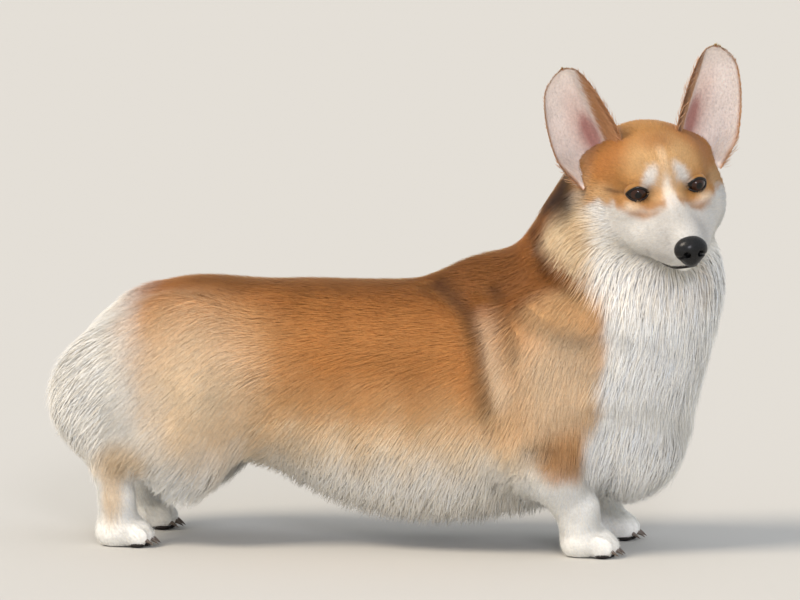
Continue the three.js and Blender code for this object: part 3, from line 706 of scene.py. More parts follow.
def body_markings(points):
    """Red back, paler flank and haunch, white belly fringe, breeches, breast and feet, from the point's
    place."""
    rough = 6 * ripple(points, 34, 3) + 3.5 * ripple(points, 11, 4)
    x, y, z = points.T
    side = np.abs(y)
    sided = ways(x, side, z)
    bib_edge = np.interp(z, [60, 120, 205, 250, 300, 345, 400], [206, 214, 221, 219, 196, 186, 182])
    collar_height = np.interp(x, [150, 200, 240], [296, 266, 240])
    above_collar = smooth(z - collar_height, 2, 14) * smooth(-y, 20, 50) * smooth(x, 134, 150)
    nape = smooth(z + 0.5 * rough, 322, 346) * fade(x, 172, 190) * fade(side, 40, 62)
    return laid_over(RED, [
        # The back, darker along the spine, and the flank, paler the lower it is
        (RED_BACK, smooth(z + rough, 215, 264) * (0.75 + 0.25 * smooth(x, -100, 100))),
        (BROWN_HAIR_AND_SHADE, 0.4 * smooth(z + 0.5 * rough, 248, 268) * smooth(x, -250, -180) * fade(x, 90, 130)),
        (GOLD, 0.9 * fade(z + rough, 118, 195)),
        (CREAM, 0.9 * fade(z + rough, 88, 150)),
        # The haunch, the fringe and the breeches
        (GOLD, 0.85 * spot(sided, (-205, 80, 172), (88, 60, 82), 0.55)),
        (CREAM, 0.85 * spot(sided, (-200, 85, 152), (60, 60, 74), 0.65)),
        (WHITE, 0.85 * fade(z + rough, 58, 112)),
        (BREECHES, smooth(-x + rough - 0.25 * (z - 150), 212, 278)),
        # The shoulder, the withers and the pale bulge under the collar
        (GOLD, 0.85 * spot(sided, (170, 95, 175), (62, 70, 70), 0.5)),
        (CREAM, 0.6 * spot(sided, (180, 95, 172), (48, 70, 58), 0.6)),
        (WITHERS, 0.8 * spot(points, (112, -45, 275), (52, 60, 24), 0.6)),
        (GOLD, 0.9 * spot(points, (190, -92, 247), (50, 40, 22), 0.45)),
        # The folds: painted shade darkening the creases, and a pale streak along the ridge that stands up between
        # them
        (CREAM, 0.8 * fade(z, 222, 256) * fold_share(points, "ridge")),
        (BROWN_HAIR_AND_SHADE, 0.8 * fold_share(points, "shoulder")),
        (BROWN_HAIR_AND_SHADE, 0.7 * fold_share(points, "blade")),
        (BROWN_HAIR_AND_SHADE, 0.8 * fold_share(points, "collar")),
        (BROWN_HAIR_AND_SHADE, 0.5 * fold_share(points, "neck")),
        (BREAST_SHADE, 0.45 * fold_share(points, "breast")),
        # The bib, and the side of the neck, paler towards it
        (WHITE, smooth(x - bib_edge + rough, -8, 10)),
        (NECK_SIDE, 0.9 * above_collar),
        (WHITE, 0.85 * above_collar * smooth(x + rough, 188, 222)),
        # The foreleg, with painted shade in the crease at the elbow
        (ELBOW_PATCH, 0.85 * spot(sided + 0.5 * rough[:, None], (184, 95, 98), (27, 60, 25), 0.55)),
        (BROWN_HAIR_AND_SHADE, 0.6 * fold_share(points, "elbow")),
        (WHITE, fade(z + 0.5 * rough, 62, 78) * smooth(x, 120, 140)),
        (WHITE, smooth(x, 196, 208) * fade(z, 110, 130)),
        # The hind leg
        (HOCK_SAND, 0.8 * spot(sided, (-270, 80, 80), (28, 40, 24), 0.5)),
        (WHITE, fade(z + 0.5 * rough, 58, 74) * fade(x, -200, -180)),
        (SHIN_SAND, 0.7 * spot(sided, (-278, 88, 50), (12, 16, 26), 0.6)),
        # The smoky nape: dark hair there, with painted shade behind the cheek making it darker on the near side
        (SMOKY_HAIR_AND_SHADE, nape * (0.45 + 0.5 * smooth(-y, -10, 20))),
    ])


def head_markings(points):
    """Fox-red crown and brows, white blaze, muzzle, cheeks and chin, from the point's place in the head's frame,
    with painted shade greying the muzzle and darkening the edge behind the cheeks and the crease along the whisker
    row."""
    rough = 2.2 * ripple(points, 15, 5) + 1.2 * ripple(points, 6, 6)
    x, y, z = points.T
    side = np.abs(y + 1)
    sided = ways(x, side, z)
    slanted = ways(x, side + 0.35 * (z - 17), z) + rough[:, None] * [0, 0.6, 0.6]
    cheek_top = np.interp(x, [-60, -42, -24, -6, 10], [-26, -20, -12, -11, -15])
    cheek = fade(z - cheek_top + rough, -7, 5) * smooth(side, 20, 30) * smooth(x + 0.6 * rough, -52, -34)
    muzzle = smooth(x + 0.5 * (side - 14) - 0.6 * (z + 16) + rough, 14, 32)
    half = np.interp(z, [-20, -10, 0, 10, 22], [17, 9, 5.5, 4.2, 2])
    blaze = fade(side + 0.6 * rough, half - 2.5, half + 3.5) * smooth(x, -8, 8) * fade(z, 8, 28)
    parting = fade(side, 2, 7) * smooth(z, 12, 20) * fade(z, 36, 46) * smooth(x, -24, -8)
    under_eye = [(-16, 48, -3), (-2, 46, -10), (12, 40, -16), (20, 30, -17), (26, 20, -12)]
    behind_eye = [(-26, 55, -1), (-13, 48, 0), (-3, 42, 2)]
    whisker_row = [(34, 32, -52), (25, 29, -62), (16, 25, -73)]
    mouth_corner = [(8, 0, -59), (18, 0, -63), (29, 0, -67)]
    return laid_over(FOX, [
        # The crown
        (BROW_SAND, 0.85 * spot(sided, (-4, 12, 32), (32, 26, 18), 0.7)),
        (RUST, 0.7 * spot(sided, (-52, 48, 26), (34, 26, 30), 0.5)),
        (FOX_DARK, 0.5 * spot(sided, (-24, 4, 44), (14, 14, 10), 0.8)),
        (TEMPLE, 0.6 * spot(sided, (-30, 52, -6), (16, 16, 10), 0.6)),
        # The cheeks, the throat and painted shade along the edge behind the cheeks
        (FACE_WHITE, cheek),
        (FACE_WHITE, fade(z + rough, -56, -40) * smooth(x, -60, -40)),
        (BROWN_HAIR_AND_SHADE, 0.6 * spot(sided, (-50, 66, -38), (8, 30, 26), 0.6)),
        # The muzzle, the blaze and the white spots over the eyes
        (FACE_WHITE, muzzle),
        (WHITE, 0.85 * blaze),
        (PARTING, 0.5 * parting),
        (CREAM, 0.45 * spot(sided, (12, 8, 8), (10, 9, 12), 0.5)),
        (FACE_WHITE, 0.9 * spot(slanted, (7, 17, 17), (12, 7.5, 12.5), 0.6)),
        # Round the eyes
        (EYE_CORNER, 0.8 * spot(sided, (12, 14, 0), (8, 6, 7), 0.5)),
        (CREAM, 0.55 * spot(sided, (8, 38, -9), (12, 9, 5), 0.5)),
        (EYE_BAG, 0.85 * on_line(sided, under_eye, 4.5)),
        (EYE_LINE, 0.7 * on_line(sided, behind_eye, 2.2)),
        # Round the mouth: painted shade greying the muzzle top and along the whisker crease, and the dark corners
        # of the mouth
        (MUZZLE_SHADE_GREY, 0.5 * on_line(sided, whisker_row, 3.5)),
        (MUZZLE_SHADE_GREY, 0.65 * spot(sided, (42, 0, -32), (42, 30, 30), 0.5)),
        (MOUTH_CORNER, 0.85 * on_line(sided * [1, 0, 1], mouth_corner, 1.6) * smooth(side, 12, 17)),
    ])


def markings(points):
    """The coat's colour at points of the dog's frame."""
    on_head = fade(in_head(skull)(*points.T) - body(*points.T), -16, 10)
    return mix(body_markings(points), head_markings(to_head(points)), on_head)


# ---------------------------------------------------------------- The lie of the coat

# By the length of its hair in mm: how wide a tuft is, in mm, and how many tufts deep the coat is
TUFT_WIDTH = ([3, 8, 20, 30, 34, 60], [0.7, 0.9, 1.1, 1.2, 1.4, 1.9])
TUFT_COVER = ([3, 8, 20, 32, 40, 60], [1.8, 2.6, 6.0, 8.0, 8.0, 9.0])


def coat_plan(points, normals):
    """For each root: which way the hair lies, how long and wide a tuft is, how freely it hangs, how it
    clumps, how many tufts deep it covers the skin and how far it is the head's. Each part of the dog has
    its own values, mixed by nearness: a part's share falls by e for each 5 mm that its skin is further off
    than the nearest."""
    x, y, z = points.T
    off = {"head": in_head(head_skin)(x, y, z), "body": trunk_skin(x, y, z), "fore": foreleg_skin(x, y, z),
           "ham": ham_skin(x, y, z), "hock": hock(x, y, z) + LEG_HAIR, "paw": paws(x, y, z) + PAW_HAIR}
    nearest = np.min(list(off.values()), axis=0)
    share = {key: np.exp(-(value - nearest) / 5.0) for key, value in off.items()}
    total = sum(share.values())
    share = {key: value / total for key, value in share.items()}

    low = fade(z, 90, 235)
    fore = smooth(x, 95, 150) * fade(x, 200, 225)
    front = smooth(x, 195, 235)
    up = smooth(z, 235, 290) * smooth(x, 120, 170)
    ahead = normals[:, 0]
    hx, hy, hz = to_head(points).T
    trunk_lie = ways(-1 + 0.35 * low + 0.5 * fore, 0, -0.22 - 1.0 * low - 0.7 * fore)
    trunk_lie = mix(trunk_lie, np.array([-0.6, 0, -1.0]), up)
    head_lie = ways(-1, 0.35 * np.sign(hy) * smooth(np.abs(hy), 3, 20),
                    0.25 * smooth(hz, -10, 20) - 0.55 * fade(hz, -50, 0) - 0.8 * smooth(-hx, 30, 80))
    lies = {"body": mix(trunk_lie, ways(-0.1, 0.25 * y / 60, -1), front),
            "ham": ways(-0.75 + 0.25 * smooth(-x, 270, 310), 0, -0.75 - 0.3 * fade(z, 80, 150)),
            "fore": ways(-0.35 - 0.25 * smooth(-ahead, 0, 0.6), 0, -1),
            "hock": np.array([-0.25, 0, -1.0]),
            "paw": np.array([0.7, 0, -0.7]),
            "head": head_lie @ HEAD_TURN.T}
    lie = sum(share[key][:, None] * value for key, value in lies.items())

    belly = fade(z, 75, 135) * fade(x, 165, 215)
    rear = smooth(-x, 262, 300)
    chest = front * fade(z, 320, 350)
    cheek = smooth(-hx, 0, 55) * smooth(-hz, -15, 25)
    head_length = 4.2 + 3.5 * smooth(-hx, -25, 10) + 3 * smooth(-hx, 20, 60) + 9 * cheek
    by_lips = 0.6 * fade(np.abs(hz - lip_height(hx)), 3, 14) * smooth(hx, 0, 14)
    lengths = {"body": 26 + 10 * low + 20 * belly + 16 * rear + 18 * chest + 8 * up,
               "ham": 26 + 26 * rear + 18 * fade(z, 70, 110) * smooth(x, -275, -235),
               "paw": 7,
               "fore": 9 + 15 * smooth(z, 55, 125) + 8 * smooth(-ahead, 0.1, 0.7),
               "hock": 9,
               "head": head_length * (1 - by_lips)}
    length = sum(share[key] * value for key, value in lengths.items())
    length = length * (1 - 0.5 * near_folds(points) * share["body"])
    hang = np.maximum(share["body"] * belly, share["ham"] * fade(z, 65, 95) * smooth(x, -270, -235))
    clump = np.clip(0.12 + 0.45 * belly + 0.2 * rear + 0.08 * chest, 0, 0.6) * smooth(length, 8, 24)
    return {"lie": lie, "length": length, "hang": hang, "clump": clump, "head": share["head"],
            "width": np.interp(length, *TUFT_WIDTH), "cover": np.interp(length, *TUFT_COVER)}


CLUMP, WIDE_CLUMP = 9.5, 17.0  # how far apart clumps are, in mm, and where the hair hangs in strands


def clump_centres(points, size, seed):
    """The nearest point, to each of the given ones, of a lattice with one seeded, shifted point in each
    cube of that size."""
    base = np.floor(points / size).astype(np.int64)
    best = np.full(len(points), np.inf)
    nearest = np.zeros_like(points)
    for n in range(27):
        cell = base + [n // 9 - 1, n // 3 % 3 - 1, n % 3 - 1]
        hashed = (cell[:, 0] * 73856093 ^ cell[:, 1] * 19349663 ^ cell[:, 2] * 83492791 ^ seed * 2654435761)
        shifts = np.stack([((hashed * k >> 7) & 1023) / 1023 for k in (2246822519, 3266489917, 668265263)], 1)
        centre = (cell + 0.15 + 0.7 * shifts) * size
        distance = np.linalg.norm(centre - points, axis=1)
        closer = distance < best
        best = np.where(closer, distance, best)
        nearest[closer] = centre[closer]
    return nearest


def roots_on(points, faces, density, count_cap, rng):
    """Roots spread over quads by density, in tufts per square mm: steps of 1 along the running sum of each
    triangle's area times its density, each placed at random in its triangle. Gives the roots' places, their
    triangles and the weight of each corner, as a list."""
    tri = np.concatenate([faces[:, [0, 1, 2]], faces[:, [0, 2, 3]]])
    x, y, z = points[tri[:, 0]].T
    tri = tri[np.argsort(np.floor(x / 6) * 1e5 + np.arctan2(y, z))]  # round the body in slices of 6 mm
    a, b, c = (points[tri[:, k]] for k in range(3))
    square = np.linalg.norm(np.cross(b - a, c - a), axis=1) / 2
    weight = square * density[tri].mean(1)
    running = np.cumsum(weight)
    count = min(int(running[-1]), count_cap)
    marks = (np.arange(count) + rng.uniform(0, 1, count)) * (running[-1] / count)
    chosen = np.searchsorted(running, np.minimum(marks, running[-1] * 0.999999))
    u, v = rng.uniform(0, 1, (2, count, 1))
    u, v = np.where(u + v > 1, 1 - u, u), np.where(u + v > 1, 1 - v, v)
    return a[chosen] * (1 - u - v) + b[chosen] * u + c[chosen] * v, tri[chosen], (1 - u - v, u, v)


def at_roots(values, triangles, weights):
    """The values of points, one or three to a point, read at roots inside the points' triangles."""
    grid = values.reshape(len(values), -1)
    return sum(grid[triangles[:, k]] * weights[k] for k in range(3)).reshape(-1, *values.shape[1:])


def vertex_normals(points, faces):
    """Each point's normal: the sum of the normals of its faces, at length 1."""
    total = np.zeros_like(points)
    for quads in faces if isinstance(faces, list) else [faces]:
        one, other = points[quads[:, 2]] - points[quads[:, 0]], points[quads[:, -1]] - points[quads[:, 1]]
        across = np.cross(one, other)
        for k in range(quads.shape[1]):
            for axis in range(3):
                total[:, axis] += np.bincount(quads[:, k], across[:, axis], len(points))
    return unit(total)


def spines_on_coat(roots, normals, plan, form, rng):
    """The middle line of each tuft, in four points. Hair that lies goes along the body in three equal steps
    and rises fast, then slowly, from the skin to the coat's outer face. Hair that hangs goes straight along
    its lie until it reaches that face. Each tip then leans to the middle of its clump."""
    count = len(roots)
    length = plan["length"] * rng.uniform(0.8, 1.15, count)
    stray = rng.normal(0, 1, (count, 3)) * np.interp(length, [8, 40, 56], [0.07, 0.1, 0.16])[:, None]
    wanted = unit(plan["lie"]) + stray
    start_level = form(roots) + fold_depth(roots)
    end_level = -rng.uniform(0, 1, count) ** 1.3 * np.minimum(0.45 * -start_level, 2.8)
    end_level += rng.normal(0, 0.3, count)
    end_level += 5 * rng.uniform(0, 1, count) ** 3 * smooth(length, 36, 56)  # strays of the longest hair
    laid = [roots - normals * 1.0]
    place = roots.copy()
    for k in (1, 2, 3):
        slope = form.slope(place)
        way = unit(wanted - slope * dot(wanted, slope))
        place = place + way * (length / 3)[:, None]
        risen = 1 - (1 - k / 3) ** 1.7
        level = start_level + np.minimum((end_level - start_level) * risen, 0.75 * length * k / 3)
        place = place - form.slope(place) * (form(place) - level + fold_depth(place))[:, None]
        laid.append(place)
    laid = np.stack(laid, 1)
    fall = unit(wanted + stray + [0, 0, -0.4])
    reach = np.full(count, 2.0)
    for _ in range(8):
        reach = reach - np.minimum(form(roots + fall * reach[:, None]), 2.0)
    reach = np.clip(reach, 6, 78) * rng.uniform(0.7, 1.24, count)
    t = np.array([0, 1 / 3, 2 / 3, 1])[None, :, None]
    hung = roots[:, None] + fall[:, None] * reach[:, None, None] * t
    hung += normals[:, None] * 4 * np.sin(np.pi * t) * t
    hung[:, 0] = laid[:, 0]
    spines = laid + (hung - laid) * plan["hang"][:, None, None]
    clumped = plan["clump"][:, None]
    centres = np.where(clumped > 0.45, clump_centres(roots, WIDE_CLUMP, 5), clump_centres(roots, CLUMP, 6))
    lean = (centres - roots) * clumped
    lean -= normals * dot(lean, normals)
    spines += lean[:, None] * np.array([0, 0.3, 0.7, 1.0])[None, :, None]
    return spines


def tuft_piece(name, spines, normals, widths, colours, places, slot, rng):
    """Tufts as one mesh, from the two or three points of each one's middle line and a colour for each point. Each
    is a slim three-sided lock round its line: rings with two corners at its sides and one on its ridge, a point at
    its tip and a closed root. Its root is darker and its tip lighter, painted shade deep in the coat. Its outer
    faces are shaded mostly with the skin's normal, so that the coat reads as one soft form, and its under faces
    with their own."""
    count, knots = spines.shape[:2]
    spines = spines.copy()
    spines[..., 2] = np.maximum(spines[..., 2], 0.8)
    along = unit(np.concatenate([spines[:, 1:] - spines[:, :-1], spines[:, -1:] - spines[:, -2:-1]], 1))
    side = unit(np.cross(along, normals[:, None]))
    ridge = np.cross(side, along)
    profile = np.array({3: [0.8, 0.85], 2: [1.0]}[knots])[None, :, None]
    half = widths[:, None, None] / 2 * profile
    middle, side, ridge = spines[:, :-1], side[:, :-1], ridge[:, :-1]
    rings = np.stack([middle - side * half, middle + ridge * half * 0.45, middle + side * half], 2)
    per = 3 * (knots - 1) + 1
    points = np.concatenate([rings.reshape(count, -1, 3), spines[:, -1:]], 1)
    points[..., 2] = np.maximum(points[..., 2], 0.3)

    base = np.arange(count)[:, None] * per
    last = 3 * (knots - 2)
    sides = ((0, 1), (1, 2), (2, 0))  # the two outer sides and the under one
    quads = [base + np.array([r + a, r + b, r + 3 + b, r + 3 + a])
             for r in range(0, last, 3) for a, b in sides]
    triangles = [base + np.array([last + a, last + b, per - 1]) for a, b in sides]
    triangles.append(base + np.array([0, 2, 1]))
    faces = [np.concatenate(f) for f in (quads, triangles) if f]

    t = np.append(np.repeat(np.arange(knots - 1) / (knots - 1), 3), 1.0)
    # Painted shade: each tuft darker at the root and lighter at the tip, times a random brightness of its own
    shade = (0.95 + 0.08 * t)[None, :, None] * (1 + rng.normal(0, 0.045, (count, 1, 1)))
    warmth = 1 + rng.normal(0, 0.025, (count, 1, 1)) * np.array([1, 0.2, -1])
    at_rings = np.append(np.repeat(np.arange(knots - 1), 3), knots - 1)
    tinted = np.clip(colours[:, at_rings] * shade * warmth, 0, 1)

    outer = np.stack([-side, ridge, side], 2).reshape(count, -1, 3)
    bent = unit(normals[:, None] + np.concatenate([outer, ridge[:, -1:]], 1) * 0.25).reshape(-1, 3)
    under = np.append(np.repeat(-ridge, 3, axis=1), -ridge[:, -1:], axis=1).reshape(-1, 3)
    from_root = np.repeat(-along[:, :1], per, axis=1).reshape(-1, 3)
    turned = [way[f] for way, f in zip((bent, bent, under), quads)]
    turned += [way[f] for way, f in zip((bent, bent, under, from_root), triangles)]
    turned = np.concatenate([way.reshape(-1, 3) for way in turned])

    across = np.append(np.tile([-1.0, 0, 1.0], knots - 1), 0)
    patch = np.stack([across * 0.0012, (t - 0.5) * 0.003], 1)[None] + places[:, None]
    uvs = patch.reshape(-1, 2)[np.concatenate([f.ravel() for f in faces])]
    return piece(name, points.reshape(-1, 3), faces, coat_hair, slot, tinted.reshape(-1, 3), turned, uvs)


# ---------------------------------------------------------------- Skin

# The grid's lines, in mm: 1.7 apart round the face and up to 5 elsewhere
FACE_STEP = 1.7
xs = steps([(-378, 206, 5.0), (206, 344, FACE_STEP), (344, 352, 4)])
ys = steps([(-150, -138, 4.0), (-138, 16, FACE_STEP), (16, 118, 5.0)])
zs = steps([(-4, 60, 3.2), (60, 286, 5.0), (286, 446, FACE_STEP), (446, 462, 4)])
skin_form = Sampled(skin, xs, ys, zs)
coat_form = Sampled(coat, xs[::2], ys[::2], zs[::2])
skin_points, skin_faces = surface_net(skin_form)
skin_normals = vertex_normals(skin_points, skin_faces)


def on_face(points):
    """The places on the coat's outer face straight out from these points, which decide their markings and
    folds."""
    return points - coat_form.slope(points) * coat_form(points)[:, None]


skin_points = skin_points - skin_normals * fold_depth(on_face(skin_points))[:, None]
skin_normals = vertex_normals(skin_points, skin_faces)
hide = piece("skin", skin_points, skin_faces, short_hair, "coat_red", markings(on_face(skin_points)))

def unrolled(points, on_head):
    """The points' places on the bake's map: the body unrolled round its length and the head as a globe."""
    rear_end, whole_length, axis_height = -378, 730, 150
    angle = np.arctan2(points[:, 1], points[:, 2] - axis_height) / (2 * np.pi) + 0.5
    tube = np.column_stack([(points[:, 0] - rear_end) / whole_length, angle])
    way = unit(to_head(points) + [40, 0, 10])
    turn = np.arctan2(way[:, 1], way[:, 0]) / (2 * np.pi) + 0.5
    globe = np.column_stack([turn, np.arccos(way[:, 2]) / np.pi])
    return 0.02 + 0.96 * np.where(on_head[:, None], globe, tube)


MOST_TUFTS = 260000
rng = np.random.default_rng(20)
plan = coat_plan(skin_points, skin_normals)
hx, _, hz = to_head(skin_points).T
bare_lips = fade(np.abs(hz - lip_height(hx)), 1.5, 4.5) * smooth(hx, 8, 16) * plan["head"]
density = plan["cover"] / (0.5 * plan["length"] * plan["width"]) * smooth(skin_points[:, 2], 0.6, 3.0)
density *= 1 - bare_lips
roots, triangles, weights = roots_on(skin_points, skin_faces, density, MOST_TUFTS, rng)
normals = unit(at_roots(skin_normals, triangles, weights))
plan = coat_plan(roots, normals)
spines = spines_on_coat(roots, normals, plan, coat_form, rng)
on_head = plan["head"] > 0.5
unwrapped = unrolled(roots, on_head)


def in_parts(name, chosen, knots, slot):
    """The chosen tufts as pieces of under 200,000 triangles, in slices along the body. Tufts with two knots
    are straight and with three bent once."""
    order = np.nonzero(chosen)[0]
    order = order[np.argsort(roots[order, 0], kind="stable")]
    most = {2: 49000, 3: 19500}[knots]  # at 4 and 10 triangles a tuft
    for k, part in enumerate(np.array_split(order, max(1, math.ceil(len(order) / most)))):
        lines = spines[part]
        bend = (lines[:, 1] + lines[:, 2]) / 2
        lines = np.stack([lines[:, 0], bend, lines[:, 3]] if knots == 3 else [lines[:, 0], lines[:, 3]], 1)
        seen = lines.copy()  # where each knot's colour is read: the root's a little way up the tuft
        seen[:, 0] = 0.6 * lines[:, 0] + 0.4 * lines[:, 1]
        tints = markings(on_face(seen.reshape(-1, 3))).reshape(lines.shape)
        tuft_piece(f"{name}_{k + 1}", lines, normals[part], plan["width"][part], tints, unwrapped[part],
                   slot, rng)


on_legs = ~on_head & (plan["length"] < 15)
long_hair = ~on_head & (plan["length"] > 33)
bent_hair = on_head & (plan["length"] > 10)
in_parts("coat_long", long_hair, 3, "coat_white")
in_parts("coat_body", ~long_hair & ~on_head & ~on_legs, 2, "coat_red")
in_parts("coat_cheeks", bent_hair, 3, "coat_white")
in_parts("coat_head", on_head & ~bent_hair, 2, "coat_red")
in_parts("coat_legs", on_legs, 2, "coat_white")

# ---------------------------------------------------------------- Ears

def ear_frame():
    """The ear's own ways in the head's frame, for the left ear: to its tip, to where it faces, and
    outward."""
    upward = unit(EAR_TIP - EAR_ROOT)
    facing = np.array([0.98, 0.14, 0.1])
    facing = unit(facing - upward * (facing @ upward))
    return upward, facing, -np.cross(facing, upward)


EAR_HEIGHT = float(np.linalg.norm(EAR_TIP - EAR_ROOT))
INNER_EDGE = [[-30, -8], [-33, 16], [-28, 48], [-21, 74], [-13, EAR_HEIGHT - 6], [-4, EAR_HEIGHT]]
OUTER_EDGE = [[20, -26], [34, 6], [34, 44], [26, 76], [15, EAR_HEIGHT - 7], [4, EAR_HEIGHT - 0.5]]


def ear_surface(side, rows=44, columns=22):
    """A cupped leaf: its points and faces and, for each point, t from root to tip, u from -1 at the inner
    edge curve to 1 at the outer one, and whether it is at the back. The cup is deepest half way between the
    edges, where it lies back by its depth times 1 - u squared. The rim thins to nothing at both edges."""
    upward, facing, outward = ear_frame()
    t = (1 - (1 - np.linspace(0, 1, rows)) ** 1.3)[:, None]
    turn = np.linspace(0, 2 * np.pi, 2 * columns, endpoint=False)[None]
    u = -np.cos(turn)
    at_back = (np.sin(turn) < 0) * 1.0
    low, high = spline(INNER_EDGE, t[:, 0]), spline(OUTER_EDGE, t[:, 0])
    half = np.linalg.norm(high - low, axis=1)[:, None] / 2
    middle = low[:, None] + (high - low)[:, None] * ((u + 1) / 2)[..., None]
    cup = half * (0.95 - 0.6 * t)
    rim = (3.9 - 2.1 * t) * np.sqrt(np.maximum(1 - u * u, 0))
    offset = cup * (u * u - 1) - at_back * rim + 5.4
    grid = EAR_ROOT + middle[..., :1] * outward + middle[..., 1:] * upward + offset[..., None] * facing
    tip = EAR_ROOT + upward * (EAR_HEIGHT + 0.5) + facing * 4.5
    points, faces = closed_rings(grid * [1, side, 1], grid[0].mean(0) * [1, side, 1], tip * [1, side, 1])
    values = [np.append(np.broadcast_to(value, grid.shape[:2]).ravel(), poles)
              for value, poles in ((t, (0, 1)), (u, (0, 0)), (at_back, (1, 1)))]
    points = from_head(points)
    return points, outwards(points, faces), *values


EAR_HAIR_WIDTH, MOST_EAR_TUFTS = 0.75, 12000
for word, side in (("left", 1), ("right", -1)):
    points, faces, t, u, at_back = ear_surface(side)
    normal = vertex_normals(points, faces)
    inside = laid_over(EAR_SKIN, [
        (PINK, 0.6 * fade(np.abs(u + 0.1), 0.1, 0.6) * fade(t, 0.3, 0.75)),
        (CANAL, 0.75 * fade(np.hypot((u + 0.25) / 0.3, (t - 0.24) / 0.16), 0.5, 1.2)),
    ])
    # Red hair at the back, round the rim and on the inner edge, where it is widest at the root
    up = smooth(t, 0.2, 0.75)
    edge = np.maximum(smooth(np.abs(u), 0.93, 0.99), smooth(-u, 0.50 + 0.36 * up, 0.66 + 0.3 * up))
    edge = np.maximum(edge, smooth(t, 0.93, 0.985))
    red = laid_over(RED, [(RED_BACK, smooth(t, 0.6, 1))])
    colours = mix(inside, red, np.maximum(at_back, 0.9 * edge))
    shell = piece("ear_skin_" + word, points, faces, short_hair, "coat_sand", colours)
    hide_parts("ear_" + word)

    # Long hair inside, all along the inner edge and at the foot of the outer one
    by_inner, by_outer = smooth(-u, 0.3, 0.9) * fade(t, 0.5, 0.9), smooth(u, 0.2, 0.8) * fade(t, 0.08, 0.26)
    long_hair = np.maximum(by_inner, by_outer) * (1 - at_back)
    length = 3.6 + 1.4 * at_back + 9 * long_hair
    cover = np.where(at_back > 0.5, 2.2, 0.7 + 1.6 * smooth(np.abs(u), 0.7, 0.95) + 1.2 * long_hair)
    density = cover / (0.5 * length * EAR_HAIR_WIDTH)
    root, *inside_of = roots_on(points, faces[0], density, MOST_EAR_TUFTS, rng)
    n, back_here, u_here, t_here, long_here, length_here, tint = (
        at_roots(values, *inside_of) for values in (normal, at_back, u, t, long_hair, length, colours))
    n = unit(n)
    upward, _, outward = (from_head(way * [1, side, 1]) - HEAD_AT for way in ear_frame())
    reach = (length_here * rng.uniform(0.75, 1.2, len(root)))[:, None]
    spread = np.sign(u_here) * smooth(np.abs(u_here), 0.6, 1) * 0.35 + long_here * 0.9
    way = upward + outward * spread[:, None]
    way = way + rng.normal(0, 0.12, way.shape)
    way = unit(way - n * dot(way, n))
    lift = (0.06 + 0.2 * long_here)[:, None]
    line = np.stack([root - n * 0.6, root + (way * 0.5 + n * lift) * reach,
                     root + (way + n * lift * 1.2) * reach], 1)
    place = 0.03 + 0.94 * np.column_stack([(u_here + 1) / 4 + 0.5 * (back_here > 0.5), t_here])
    tuft_piece("ear_coat_" + word, line, n, np.full(len(root), EAR_HAIR_WIDTH), np.stack([tint] * 3, 1),
               place, "coat_sand", rng)

# ---------------------------------------------------------------- Eyes and lids

BALL_RADIUS = EYE_RADIUS - 0.15
CORNEA_BULGE = 0.8


def eye_ways(side):
    """The way that an eye looks, and the ways across and up from it, in the head's frame."""
    look = unit(np.array([0.95, side * 0.19, 0.04]))
    across = unit(np.cross(look, [0, 0, 1.0])) * -side
    return look, across, np.cross(across, look) * -side


def leaning(tilt, turn, look, across, up):
    """Ways that lean from the look by the tilt, towards the turn counted from across to up."""
    return ((np.sin(tilt) * np.cos(turn))[..., None] * across + (np.sin(tilt) * np.sin(turn))[..., None] * up
            + np.cos(tilt)[..., None] * look)


